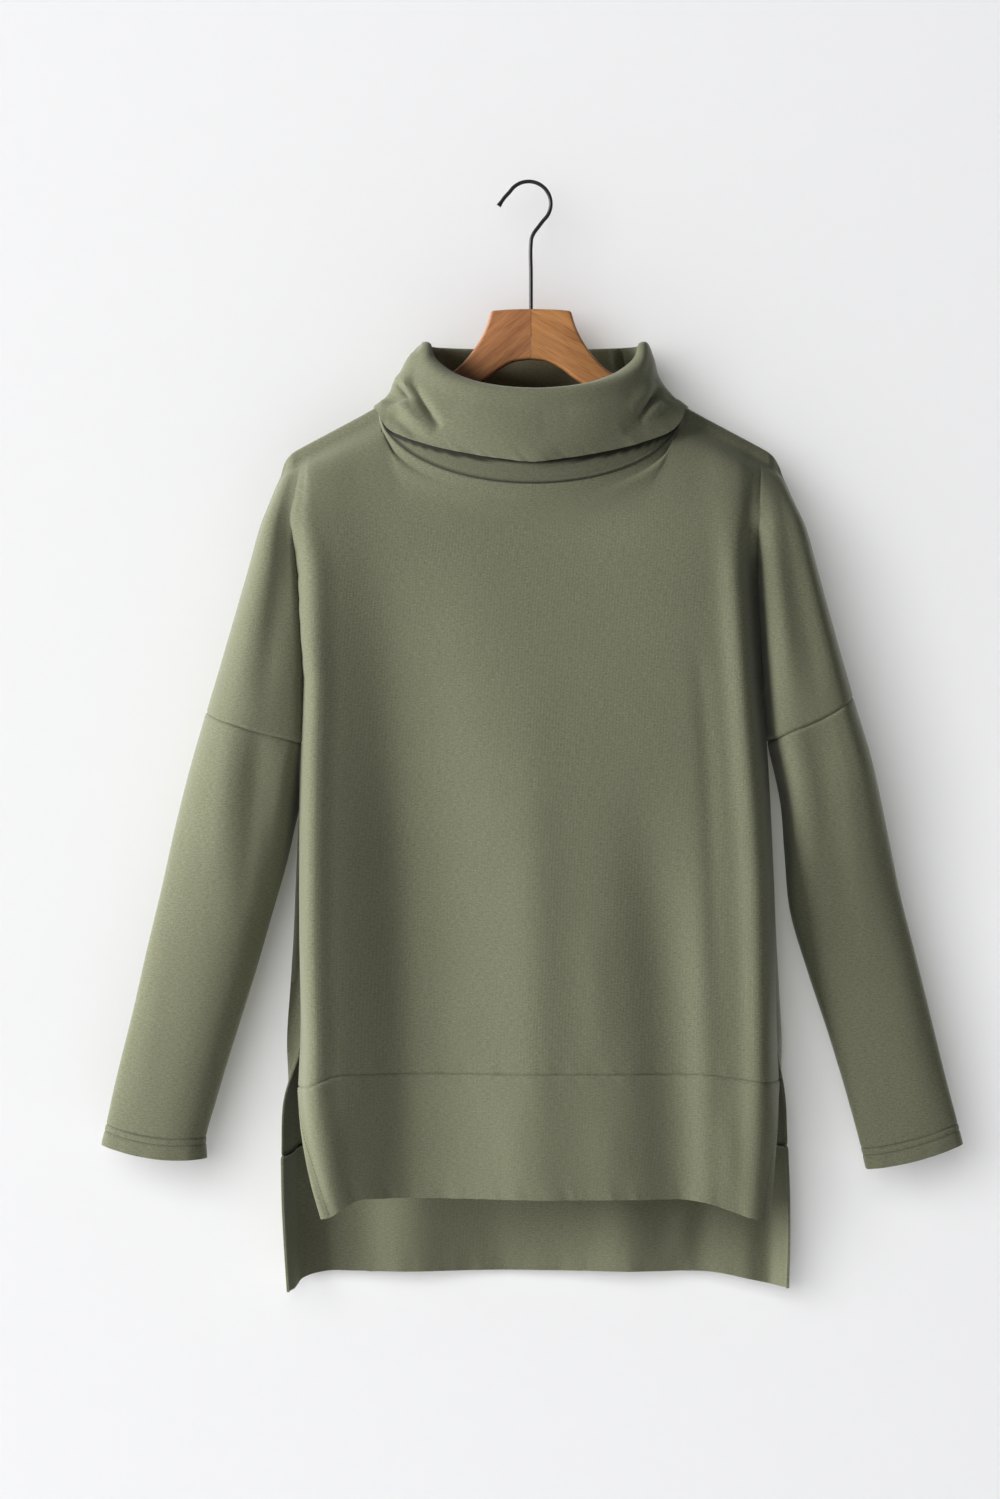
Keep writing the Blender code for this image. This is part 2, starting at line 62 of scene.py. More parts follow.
# %% Sizes shared by the pieces
MM = 0.001
CLOTH = 0.0014           # single jersey
DOUBLE_CLOTH = 0.0024    # hem bands and collar are folded double
SEAM_GAP = 0.0003        # between pieces that are sewn together
NECK_HALF = 131.0        # half width of the neckline
NECK_Z = -195.5          # where the shoulder seam meets the neckline
NECK_DROP = {"front": 68.0, "back": 9.0}
NECK_OUT = {"front": 45.0, "back": 34.0}
NECK_TURN = math.radians(15)   # angle at which the neckline has crossed the shoulder
NECK_CROSS = (9.6, 1.5)        # how far out and down it is there
SHOULDER_ROUND = 8.4     # how far the panels stand off the hanger's middle plane
YOKE_Z = -300.0          # below this the panels' sections are level
UNDERARM_Z = {"left": -489.0, "right": -485.0}
ARMHOLE_Z = {"left": -460.0, "right": -446.0}
SLIT_Z = -748.0          # top of the side slits


def table(columns, rows):
    """Rows of numbers with named columns."""
    return list(map(namedtuple("Row", columns)._make, rows))


SHOULDER = table("x z", [
    (131.0, -195.5), (165.5, -213.95), (200.0, -232.4), (207.5, -237.2), (212.5, -243.2),
    (215.5, -250.5),
])
print("a shoulder seam falls from", SHOULDER[0].z, "to", SHOULDER[-1].z, "mm")

# %% Sections of the front and back
SECTION = "z edge_l edge_r side_l side_r nose_l nose_r arm_y side_y nose_y crest_y centre_y"
FRONT = table(SECTION, [
    (-250, -215, 216, -206, 200, -201, 190, 30, 28, 31, 38, 40),
    (-300, -234, 236, -204, 195, -198, 187, 33, 32, 35, 41, 43),
    (-335, -244, 246, -200, 195.5, -196, 188, 35, 15, 27, 42, 44.5),
    (-372, -255, 256, -196, 197, -195, 190, 37, 11, 26, 43, 46),
    (-430, -272, 272, -190, 200, -195, 194, 43, 7, 26, 46, 48),
    (-489, -288, 288, -187, 203, -197, 199, 46, 0, 24, 46, 49),
    (-540, -288, 288, -190, 206, -198, 204, 43, 0, 23, 47, 50),
    (-600, -288, 288, -195, 208, -199, 208, 43, 0, 21, 47, 50),
    (-670, -288, 288, -198, 210, -199, 210, 43, 0, 19, 46, 50),
    (-748, -288, 288, -199, 212, -197, 211, 43, 0, 17, 45, 50),
    (-784, -288, 288, -200, 213, -197, 211, 43, 10, 25, 45, 50),
    (-820, -288, 288, -196, 210, -192, 208, 43, 26, 36, 46, 50),
    (-860, -288, 288, -188, 206, -183, 203, 43, 36, 40, 46, 50),
    (-900, -288, 288, -177, 202, -171, 198, 43, 38, 42, 46, 50),
])
BACK = table(SECTION, [
    (-250, -215, 216, -206, 200, -198, 192, 8, 8, 9, 10, 30),
    (-300, -234, 236, -202, 195, -192, 188, 13, 9, 13, 17, 29),
    (-372, -255, 256, -195, 197, -188, 190, 22, 8, 19, 25, 29),
    (-430, -272, 272, -190, 200, -190, 195, 30, 6, 20, 30, 30),
    (-489, -288, 288, -187, 203, -197, 203, 36, 0, 20, 33, 31),
    (-540, -288, 288, -190, 206, -201, 208, 36, 0, 20, 34, 32),
    (-600, -288, 288, -195, 208, -204, 211, 36, 0, 19, 34, 33),
    (-670, -288, 288, -198, 210, -207, 214, 36, 0, 19, 34, 34),
    (-748, -288, 288, -199, 212, -212, 218, 36, 0, 18, 33, 35),
    (-784, -288, 288, -212, 219, -210, 217, 36, 4, 19, 33, 35),
    (-840, -288, 288, -216, 222, -212, 219, 36, 6, 20, 33, 35),
    (-900, -288, 288, -215, 224, -211, 220, 36, 7, 20, 33, 35),
    (-965, -288, 288, -211, 223, -207, 219, 36, 8, 20, 33, 35),
])
print(len(FRONT), "sections for the front and", len(BACK), "for the back")

# %% Hanging folds, hems, sleeves and collar
FOLD = "x_yoke x_middle x_hem z_start z_full width out"
FRONT_FOLDS = table(FOLD, [
    (-140, -94, -92, -150, -640, 58, -17),
    (-136, -114, -110, -300, -640, 19, -2.4),
    (-190, -190, -190, -180, -400, 38, 6.0),
    (-182, -182, -182, -420, -700, 40, 5.5),
    (-150, -150, -150, -520, -320, 60, 1.5),
    (140, 140, 140, -520, -320, 80, 3.5),
    (-2, 2, 4, -400, -640, 22, 2.2),
    (70, 106, 128, -480, -700, 30, -8),
    (140, 145, 150, -540, -700, 11, 1.8),
    (171, 189, 194, -200, -400, 13, 3.4),
])
BACK_FOLDS = table(FOLD, [
    (-128, -116, -108, -400, -780, 34, -9),
    (-36, -28, -24, -460, -780, 30, 4),
    (66, 76, 84, -420, -760, 36, -10),
    (190, 190, 190, -600, -820, 32, -9),
])

Hem = namedtuple("Hem", "middle left right corner_l corner_r")
FRONT_SEAM = Hem(-771.5, -784.0, -779.0, 45.0, 80.0)
FRONT_HEM = Hem(-878.5, -894.5, -896.0, 42.0, 84.0)
BACK_SEAM = Hem(-833.0, -847.0, -838.0, 30.0, 60.0)
BACK_HEM = Hem(-950.5, -966.0, -962.0, 24.0, 84.0)

RING = "z tilt outer inner depth sag"
SLEEVES = {
    "left": table(RING, [
        (-530, 24, -297, -203, 38, 0), (-571, 22, -307.8, -211.5, 34, 0),
        (-624, 19, -320.3, -226, 29, 0), (-676, 17, -333, -240.5, 25, 0),
        (-730, 15, -345.5, -257, 22, 0), (-790, 14, -360.5, -275, 18, 0),
        (-826, 12, -368.5, -284, 15, 3), (-842, 11, -372.0, -283.5, 14, 5),
    ]),
    "right": table(RING, [
        (-530, 24, 294.5, 210, 36, 0), (-571, 22, 305.5, 216, 31, 0),
        (-624, 19, 318.3, 227, 27, 0), (-676, 18, 331.3, 242, 24, 0),
        (-730, 18, 344.8, 260, 22, 0), (-790, 18, 359.8, 278, 18, 0),
        (-828, 20, 369.5, 288.5, 15, 2), (-846, 21, 373.5, 293.0, 14, 3),
    ]),
}

COLLAR = table("half middle point side_z front_y front_z back_y back_z", [
    (118.5, 0, 1.0, -186.4, 45.5, -251, 35.0, -197),
    (108.0, 0, 1.0, -179.2, 45.5, -231, 35.5, -182),
    (102.5, 1, 1.0, -165.0, 45.0, -208, 35.0, -162),
    (96.0, 2, 1.0, -149.0, 45.0, -191, 34.5, -147),
    (92.5, 3, 1.0, -141.5, 46.5, -184, 35.5, -142),
    (96.0, 3, 1.0, -140.5, 51.5, -184, 40.0, -142),
    (105.5, 0, 1.0, -152.0, 54.0, -202, 42.5, -160),
    (113.0, -2, 1.0, -170.5, 54.5, -222, 42.5, -182),
    (121.5, -1, 1.3, -184.0, 54.0, -236, 42.0, -198),
    (136.0, 0, 1.7, -196.4, 52.0, -246, 41.0, -207),
])
COLLAR_CROSS = 14.0      # how far the collar stands off where it crosses the shoulder
print(len(FRONT_FOLDS) + len(BACK_FOLDS), "hanging folds and", len(COLLAR), "collar rings")

# %% [markdown]
# ## Curves through the tables
# A Hermite curve passes through every row of a table and takes its slope from the rows on
# either side. Straight steps would show as flat bands across the cloth, and a free spline
# would need its own handles for each size.


# %% Curves and blends
def mix(a, b, t):
    return a + (b - a) * t


def soft(t):
    """From 0 to 1 with an even start and stop."""
    t = np.clip(t, 0.0, 1.0)
    return t * t * (3 - 2 * t)


def bell(distance, width):
    """1 on a line, and less and less on both sides of it."""
    return np.exp(-((distance / width) ** 2))


def bend(t, a, b, c):
    """A curve through three values, at 0, a half and 1."""
    return (1 - t) * (1 - 2 * t) * a + 4 * t * (1 - t) * b + t * (2 * t - 1) * c


def hermite(t, a, b, rise_a, rise_b):
    """From a to b, with the rises that its ends would give over the whole step."""
    return ((2 * t**3 - 3 * t**2 + 1) * a + (t**3 - 2 * t**2 + t) * rise_a
            + (3 * t**2 - 2 * t**3) * b + (t**3 - t**2) * rise_b)


def through(rows, key, name, value):
    """The named column of a table at a value of its key column, on a smooth curve."""
    keys = [getattr(row, key) for row in rows]
    values = [getattr(row, name) for row in rows]
    if keys[0] > keys[-1]:
        keys, value = [-k for k in keys], -value
    value = min(max(value, keys[0]), keys[-1])
    i = max(j for j in range(len(keys) - 1) if keys[j] <= value)

    def slope(j):
        before, after = max(j - 1, 0), min(j + 1, len(keys) - 1)
        return (values[after] - values[before]) / (keys[after] - keys[before])

    step = keys[i + 1] - keys[i]
    return hermite((value - keys[i]) / step, values[i], values[i + 1], step * slope(i),
                   step * slope(i + 1))


print("the front hangs", round(through(FRONT, "z", "centre_y", -400), 1), "mm out at -400")


# %% Hems and the neckline
def hem_z(hem, x, left, right):
    """Height of a lower edge at x, with its drooping corners."""
    near_left = soft(1 - (x - left) / hem.corner_l) ** 1.5
    near_right = soft(1 - (right - x) / hem.corner_r) ** 1.5
    return (hem.middle + (hem.left - hem.middle) * near_left
            + (hem.right - hem.middle) * near_right)


def round_neck(turn):
    """Shares for an angle round the neck (0 at the right, 90 degrees at the front): how far
    it has crossed the shoulder, then out to the side and to the front."""
    from_side = min(turn % math.pi, math.pi - turn % math.pi)
    crossed = min(from_side / NECK_TURN, 1.0)
    lean = max(from_side - NECK_TURN, 0.0) / (math.pi / 2 - NECK_TURN) * math.pi / 2
    aside = math.copysign(math.cos(lean), math.cos(turn))
    return crossed, aside, math.sin(lean)


def neckline(near, turn):
    """x, distance from the middle plane and z of the neckline seam."""
    crossed, aside, ahead = round_neck(turn)
    out, down = NECK_CROSS
    return Vector((
        NECK_HALF * aside,
        out * crossed + (NECK_OUT[near] - out) * ahead,
        NECK_Z - down * crossed - (NECK_DROP[near] - down) * ahead,
    ))


print("middle of the front neckline at", [round(v, 1) for v in neckline("front", math.pi / 2)])

# %% [markdown]
# ## A panel as a grid
# The front and the back are each one piece of cloth, from the middle of one arm to the
# middle of the other. Their grids have the same columns: over the arm, into the valley at
# the armpit, round the body's fold (its nose), and across the face. Below the armhole the
# arm's columns stop, because the sleeve takes over there.

# %% Columns of a panel
Panel = namedtuple("Panel", "name sections folds sign seam hem")
FRONT_PANEL = Panel("front", FRONT, FRONT_FOLDS, -1, FRONT_SEAM, FRONT_HEM)
BACK_PANEL = Panel("back", BACK, BACK_FOLDS, 1, BACK_SEAM, BACK_HEM)
OUT = {"left": -1, "right": 1}                # the way out along x
FACE_STEPS = 18          # steps across the face
NECK_AT = 3              # of them from each side of the face to the neckline
ARM_STEPS = 8            # columns of an arm
SIDE_L, SIDE_R = ARM_STEPS, -1 - ARM_STEPS    # columns of the side seams
COLUMNS = (
    [("arm", "left", i) for i in range(ARM_STEPS)]
    + [(kind, "left", 0) for kind in ("side", "flank", "nose")]
    + [("face", "", i) for i in range(FACE_STEPS + 1)]
    + [(kind, "right", 0) for kind in ("nose", "flank", "side")]
    + [("arm", "right", i) for i in reversed(range(ARM_STEPS))]
)
print(len(COLUMNS), "columns across a panel")

# %% Level sections
CREST_IN = {"left": 7.0, "right": -9.0}       # from the nose to the face's first column
CROWN = 4.5              # a high power keeps the face flat between its two sides
ARM_ACROSS = [0.0, 0.03, 0.12, 0.25, 0.40, 0.56, 0.73, 0.87]    # from its outer edge
ARM_DEPTH = {            # the arm's round, as shares of arm_y
    "left": [0.0, 0.36, 0.70, 0.92, 1.0, 0.98, 0.93, 0.82],
    "right": [0.0, 0.66, 0.90, 0.96, 0.98, 1.0, 1.0, 0.92],
}
ARMPIT = UNDERARM_Z["left"]                   # the front swells out above this height
YOKE_FLAT = -332.0                            # and lies flat on the shoulders above this
SWELL, FLATTEN = 80.0, 34.0                   # heights over which these two set in
FLANK_IN, FLANK_UP = 0.35, 120.0              # the flank leaves the side, over this height
ARM_LIFT = {"left": 0.0, "right": 6.0}        # how far an arm of the front swells out
GROOVE_LIFT = {"left": 4.0, "right": 0.0}     # and the groove at its side
YOKE_LIFT = {"left": (2.5, 2.5), "right": (6.0, 4.0)}   # side and nose, on the shoulders


def section(panel, name, z):
    return through(panel.sections, "z", name, z)


def crest_x(panel, side, z):
    return section(panel, "nose_" + side[0], z) + CREST_IN[side]


def face_at(panel, i, z):
    """A point of the face between the two folds at its sides."""
    left, right = crest_x(panel, "left", z), crest_x(panel, "right", z)
    t = i / FACE_STEPS
    crown = 1 - abs(2 * t - 1) ** CROWN
    y = mix(section(panel, "crest_y", z), section(panel, "centre_y", z), crown)
    return mix(left, right, t), y


def at(panel, column, z):
    """x and the distance from the middle plane of a column at a level height."""
    kind, side, i = column
    if kind == "face":
        return face_at(panel, i, z)
    letter = side[0]
    nose, nose_y = section(panel, "nose_" + letter, z), section(panel, "nose_y", z)
    armpit, side_y = section(panel, "side_" + letter, z), section(panel, "side_y", z)
    lift = soft((z - ARMPIT) / SWELL) if panel.name == "front" else 0.0
    flat = soft((z - YOKE_FLAT) / FLATTEN) if panel.name == "front" else 0.0
    groove = GROOVE_LIFT[side] * lift * (1 - flat)
    side_y += groove + YOKE_LIFT[side][0] * flat
    nose_y += groove / 3 + YOKE_LIFT[side][1] * flat
    if kind == "nose":
        return nose, nose_y
    if kind == "side":
        return armpit, side_y
    if kind == "flank":
        inwards = FLANK_IN * soft((z - ARMPIT) / FLANK_UP)
        return mix(armpit, nose, inwards), mix(side_y, nose_y, 0.5)
    x = mix(section(panel, "edge_" + letter, z), armpit, ARM_ACROSS[i])
    base = side_y * ARM_ACROSS[i] ** 2
    arm_y = section(panel, "arm_y", z) + ARM_LIFT[side] * lift + 2 * flat
    return x, base + (arm_y - base) * ARM_DEPTH[side][i]


print("the face stands off", round(face_at(FRONT_PANEL, FACE_STEPS / 2, YOKE_Z)[1], 1),
      "mm at the yoke line")

# %% From the shoulder seam to the yoke line
TIP_X = 191.0            # the shoulder seam is the face's up to here, then the arm's
PAST_ARM = {"arm": 0, "side": ARM_STEPS, "flank": ARM_STEPS + 1, "nose": ARM_STEPS + 2}
TIP_SPREAD = [0.0, 0.33, 0.65, 0.88]          # the arm's first columns round the tip
NEAR_NECK = (185.0, 60.0)                     # from this x inwards, over this width
NEAR_TIP = (190.0, 20.0)                      # from this x outwards, over this width


def armhole_z(column):
    kind, side, i = column
    if kind == "face":
        return mix(UNDERARM_Z["left"], UNDERARM_Z["right"], i / FACE_STEPS)
    if kind != "arm":
        return UNDERARM_Z[side]
    return mix(ARMHOLE_Z[side], UNDERARM_Z[side], ARM_ACROSS[i] ** 0.75)


def top(panel, column):
    """Where a column starts, on the shoulder seam or the neckline."""
    kind, side, i = column
    if kind == "face" and NECK_AT <= i <= FACE_STEPS - NECK_AT:
        share = (i - NECK_AT) / (FACE_STEPS - 2 * NECK_AT)
        return neckline(panel.name, math.pi * (1 - share))
    if kind == "face":
        x = mix(TIP_X, NECK_HALF, min(i, FACE_STEPS - i) / NECK_AT)
        sign = -1 if i < FACE_STEPS / 2 else 1
    else:
        x = mix(SHOULDER[-1].x, TIP_X, (i + PAST_ARM[kind]) / (ARM_STEPS + 3))
        sign = OUT[side]
    return Vector((sign * x, 0.0, through(SHOULDER, "x", "z", x)))


def upper(panel, column, over, drop):
    """A point over the hanger's top edge, then drop as a share of the way down. over has
    three shares: how far out, and how far down on the wood and where the cloth is free."""
    start = top(panel, column)
    x_low, y_low = at(panel, column, YOKE_Z)
    kind, side, i = column
    spread = TIP_SPREAD[i] if kind == "arm" and i < len(TIP_SPREAD) else 1.0
    out, on_wood, free = over
    down = free if start.y > SHOULDER_ROUND else on_wood
    y = mix(start.y, max(start.y, SHOULDER_ROUND * spread), out)
    z = start.z - SHOULDER_ROUND * down * mix(0.4, 1.0, spread)
    x = start.x
    if drop > 0:
        x = mix(x, x_low, drop)
        near_neck = soft((NEAR_NECK[0] - abs(x)) / NEAR_NECK[1])
        near_tip = soft((abs(start.x) - NEAR_TIP[0]) / NEAR_TIP[1])
        y = mix(y, y_low, drop ** (0.48 + 0.18 * near_neck + 0.30 * near_tip))
        z = mix(z, YOKE_Z, drop)
    if kind == "arm" and i == 0:
        x = section(panel, "edge_" + side[0], z)
    return x, y, z


print("armholes end at", UNDERARM_Z["left"], "and", UNDERARM_Z["right"], "mm")

# %% Rows of a panel
OVER_TOP = [(0.0, 0.0, 0.0), (0.62, 0.01, 0.3), (0.92, 0.25, 0.65), (1.0, 1.0, 1.0)]
YOKE_ROWS = [0.22, 0.55, 1.0]                 # shares of the way to the yoke line
ARM_ROWS = [0.2, 0.4, 0.6, 0.8, 1.0]          # and from there to the armhole's lower end
BODY_ROWS = [-540, -600, -650, -700, -748]
SEAM_ROWS = {"front": [1.0], "back": [0.5, 1.0]}    # from the slit's top to the band
LAST_ARM_ROW = len(OVER_TOP) + len(YOKE_ROWS) + len(ARM_ROWS) - 1


def place(panel, x, y, z):
    """A point in metres, on the panel's own side of the middle plane."""
    keep = SEAM_GAP / MM / 2
    return Vector((x, panel.sign * max(y, keep), z)) * MM


def lower_z(panel, column, level, edge):
    """Height of a column on the panel's lower edge or below it."""
    x, _ = at(panel, column, level)
    left, right = section(panel, "side_l", level), section(panel, "side_r", level)
    return hem_z(edge, x, left, right)


def body_row(panel, height):
    """One row of the body, where the arm's columns have no cloth."""
    row = []
    for c in COLUMNS:
        z = height(c)
        row.append(None if c[0] == "arm" else place(panel, *at(panel, c, z), z))
    return row


def panel_rows(panel):
    """The grid of points, with None where a row has no arm."""
    steps = [(over, 0) for over in OVER_TOP] + [(OVER_TOP[-1], drop) for drop in YOKE_ROWS]
    grid = [[place(panel, *upper(panel, c, *step)) for c in COLUMNS] for step in steps]
    for share in ARM_ROWS:
        heights = [mix(YOKE_Z, armhole_z(c), share) for c in COLUMNS]
        grid.append([place(panel, *at(panel, c, z), z) for c, z in zip(COLUMNS, heights)])
    for z in BODY_ROWS:
        grid.append(body_row(panel, lambda c, z=z: z))
    for share in SEAM_ROWS[panel.name]:
        grid.append(body_row(panel, lambda c, s=share: mix(
            SLIT_Z, lower_z(panel, c, panel.seam.middle, panel.seam), s)))
    return grid


print("the front has", len(panel_rows(FRONT_PANEL)), "rows above its band")

# %% Rows of a band, and the armhole
BAND_ROWS = [0.0, 0.35, 0.7, 1.0]


def band_rows(panel):
    """The hem band's points, from just under its seam to the hem."""
    grid = []
    for share in BAND_ROWS:
        def height(c, s=share):
            start = lower_z(panel, c, panel.seam.middle, panel.seam) - SEAM_GAP / MM
            return mix(start, lower_z(panel, c, panel.hem.middle, panel.hem), s)
        grid.append(body_row(panel, height))
    return grid


def armhole(panel, side):
    """The armhole's lower row on this panel, from the overarm fold to the armpit."""
    picked = [c for c in COLUMNS if c[0] in ("arm", "side") and c[1] == side]
    picked.sort(key=lambda c: ARM_STEPS if c[0] == "side" else c[2])
    heights = [armhole_z(c) for c in picked]
    return [place(panel, *at(panel, c, z), z) for c, z in zip(picked, heights)]


print("an armhole's lower row has", len(armhole(FRONT_PANEL, "left")), "points")

# %% [markdown]
# ## Sleeve and collar as rings
# A sleeve is a tube: its first ring follows the armhole of both panels, and the next ones
# narrow and tilt down to the cuff. The collar is a tube too. Its rings climb from the
# neckline up the stand, roll over at the top, and come down outside to the free edge.

# %% Rings of a sleeve
SLEEVE_ROUND = {"left": 0.85, "right": 0.5}   # 1 is an ellipse, less is flatter
SLEEVE_SKEW = {"left": -0.22, "right": 0.0}   # the left one has its ridge further out
SLEEVE_WAY = (0.22, -0.975)                   # its way out and down from the armhole
SEAM_SLANT = 1.3         # the armhole slants, so the gap has to be longer this way
ARMPIT_CLEAR = 3.7       # the first ring stays clear of the body by this at the armpit
JOIN_Z, JOIN = -475.0, 140.0    # the armhole's height, and how far the rings follow it


def sleeve_rings(side):
    start = armhole(FRONT_PANEL, side) + armhole(BACK_PANEL, side)[-2:0:-1]
    start[0].y = 0.0
    start[ARM_STEPS].y = 0.0
    count, out = len(start), OUT[side]
    along = Vector((out * SLEEVE_WAY[0], 0.0, SLEEVE_WAY[1])) * SEAM_GAP * SEAM_SLANT
    first = []
    for k, p in enumerate(start):
        aside = ARMPIT_CLEAR * MM * bell(abs(k - ARM_STEPS), 1.5) * out
        first.append(p + along + Vector((aside, 0, 0)))
    rings = [first]
    for ring in SLEEVES[side]:
        middle, half = (ring.outer + ring.inner) / 2, (ring.outer - ring.inner) / 2
        row = []
        for k in range(count):
            turn = 2 * math.pi * k / count
            flat = math.sin(turn)
            skew = 1 - SLEEVE_SKEW[side] * out * math.cos(turn)
            row.append(Vector((
                middle + half * math.cos(turn),
                -ring.depth * skew * math.copysign(abs(flat) ** SLEEVE_ROUND[side], flat),
                ring.z + ring.tilt * math.cos(turn) / 2 - ring.sag * flat**2,
            )) * MM)
        share = soft((ARMPIT - ring.z) / JOIN)
        if share < 1:
            shift = Vector((ring.outer * MM - start[0].x, 0, (ring.z - JOIN_Z) * MM))
            row = [mix(p + shift, r, share) for p, r in zip(start, row)]
        rings.append(row)
    return rings


print("a sleeve has", len(sleeve_rings("left")), "rings")

# %% Rings of the collar
OUTER_Y = 50.0           # rings that stand further out than this are the outer layer
OUTER_FULL = 0.8         # less than 1 makes their front fuller
CROSS_IN = 1.5           # how far the sides draw in where they cross the shoulder


def collar_base(turn):
    """The collar's first ring lies just above and inside the neckline."""
    near, sign = ("front", -1) if turn < math.pi else ("back", 1)
    p = neckline(near, turn)
    side = abs(math.cos(turn))
    p.x -= math.copysign(0.8 * side**2, p.x)
    p.y = sign * (p.y - 0.3 * min(p.y / 5, 1))
    p.z += 0.9 + 0.2 * side**4
    return p * MM


def collar_rings():
    count = 2 * (FACE_STEPS - 2 * NECK_AT)
    turns = [2 * math.pi * k / count for k in range(count)]
    rings = [[collar_base(turn) for turn in turns]]
    for ring in COLLAR:
        row = []
        for turn in turns:
            crossed, aside, ahead = round_neck(turn)
            depth, low, sign = ring.back_y, ring.back_z, 1
            if turn < math.pi:
                depth, low, sign = ring.front_y, ring.front_z, -1
            ahead = ahead**OUTER_FULL if ring.front_y > OUTER_Y else ahead
            row.append(Vector((
                ring.middle + (ring.half - CROSS_IN * crossed * abs(aside))
                * math.copysign(abs(aside) ** ring.point, aside),
                sign * (COLLAR_CROSS * crossed + (depth - COLLAR_CROSS) * ahead),
                mix(ring.side_z, low, ahead),
            )) * MM)
        rings.append(row)
    return rings


print("the collar has", len(collar_rings()), "rings of", len(collar_rings()[0]), "points")

# %% [markdown]
# ## From coarse to fine
# These grids are as coarse as the solids. Cloth needs lines every few millimetres, and
# closer ones beside a seam, where it dips into the stitches. A subdivision modifier would
# round the corners of the cut and pull the surface off its points, so the grids are
# sampled again on curves that pass through every point.

# %% Sampling along one direction
SEAM_LINES = (-0.003, -0.0014, -0.0006, 0.0006, 0.0014, 0.003)     # beside a seam
CLOSEST = 0.0003         # two lines of a grid


def spacing(points, axis, part=slice(None)):
    """Running mean length along an axis of a grid of points."""
    steps = np.linalg.norm(np.diff(points, axis=axis), axis=2)
    steps = steps[:, part] if axis == 0 else steps[part]
    return np.concatenate([[0.0], np.cumsum(np.maximum(steps.mean(axis=1 - axis), 1e-5))])


def stations(knots, step, fine=()):
    """Lengths at which to sample: every row, steps in between, and closer ones at seams."""
    out = [knots[-1]]
    for a, b in zip(knots, knots[1:]):
        n = max(1, round((b - a) / step))
        out += [a + (b - a) * j / n for j in range(n)]
    for f in fine:
        out += [f + s for s in SEAM_LINES]
    keep = []
    for s in sorted(set(round(float(s), 6) for s in out)):
        if 0 <= s <= knots[-1] + 1e-6 and (not keep or s - keep[-1] > CLOSEST):
            keep.append(s)
    return np.array(keep)


def sample(points, knots, lengths, axis):
    """Points at these lengths, on smooth curves through the grid's rows or columns."""
    lines = np.moveaxis(points, axis, 0)
    gaps = np.diff(knots)[:, None, None]
    chord = np.diff(lines, axis=0) / gaps
    slope = np.empty_like(lines)
    slope[0], slope[-1] = chord[0], chord[-1]
    slope[1:-1] = (gaps[1:] * chord[:-1] + gaps[:-1] * chord[1:]) / (gaps[1:] + gaps[:-1])
    i = np.clip(np.searchsorted(knots, lengths, side="right") - 1, 0, len(knots) - 2)
    t = (lengths - knots[i])[:, None, None] / gaps[i]
    out = hermite(t, lines[i], lines[i + 1], gaps[i] * slope[i], gaps[i] * slope[i + 1])
    return np.moveaxis(out, 0, axis)


print(len(stations(np.array([0.0, 0.1]), 0.004)), "lines over 100 mm of cloth")

# %% A fine grid and what it remembers
OVERLAP = 3              # columns that a tube repeats while it is sampled
LOST_ARM = 0.05          # from row to row, where the arm's columns have no cloth


class Fine:
    """A fine grid: its points, the painted shade in its seams and under the collar, and where
    the coarse rows and columns are in it. Negative lines count from the end, as in any list."""

    def __init__(self, rows, step, fine_rows=(), fine_columns=(), closed=False,
                 part=slice(None), above_last=()):
        points = filled(rows)
        if closed:
            points = np.concatenate(
                [points[:, -OVERLAP:], points, points[:, :OVERLAP]], axis=1)
        down, across = spacing(points, 0, part), spacing(points, 1)
        closer = [down[r] for r in fine_rows] + [down[-1] - a for a in above_last]
        at_rows = stations(down, step, closer)
        points = sample(points, down, at_rows, 0)
        at_columns = stations(across, step, [across[c] for c in fine_columns])
        points = sample(points, across, at_columns, 1)
        if closed:
            first, last = across[OVERLAP] - 1e-6, across[-OVERLAP] - 1e-6
            inside = (at_columns >= first) & (at_columns < last)
            points, at_columns = points[:, inside], at_columns[inside]
            across = across[OVERLAP:1 - OVERLAP]
        self.points, self.closed = points, closed
        self.seam = np.zeros(points.shape[:2])
        self.row = [int(np.argmin(abs(at_rows - k))) for k in down]
        self.column = [int(np.argmin(abs(at_columns - k))) for k in across]

    def between(self, first, last):
        """These columns as a grid of their own."""
        made = copy.copy(self)
        made.points = self.points[:, first:last + 1]
        made.seam = self.seam[:, first:last + 1]
        return made

    def normals(self):
        points = self.points
        if self.closed:
            across = np.roll(points, -1, axis=1) - np.roll(points, 1, axis=1)
        else:
            across = np.gradient(points, axis=1)
        normal = np.cross(across, np.gradient(points, axis=0))
        return normal / np.maximum(np.linalg.norm(normal, axis=2, keepdims=True), 1e-12)

    def lengths(self, axis):
        """True length from the first line of the grid to each point, along an axis."""
        steps = np.linalg.norm(np.diff(self.points, axis=axis), axis=2)
        total = np.cumsum(steps, axis=axis)
        return np.concatenate([np.zeros_like(np.take(total, [0], axis)), total], axis=axis)

    def push(self, amount, outward):
        """Moves the points along the surface's normals, by metres."""
        self.points = self.points + outward * self.normals() * amount[..., None]


def filled(rows):
    """The grid as an array. Where a row has no arm, the arm's columns run straight on, only
    to steer the curves: no cloth is made there."""
    lost = (math.nan,) * 3
    points = np.array([[lost if p is None else tuple(p) for p in row] for row in rows])
    for r in range(2, len(points)):
        gone = np.isnan(points[r, :, 0])
        if gone.any():
            fall = points[r - 1] - points[r - 2]
            length = np.maximum(np.linalg.norm(fall, axis=1, keepdims=True), 1e-9)
            points[r, gone] = (points[r - 1] + fall / length * LOST_ARM)[gone]
    if np.isnan(points[0]).any():
        points = points[:, ~np.isnan(points[0, :, 0])]
    return points


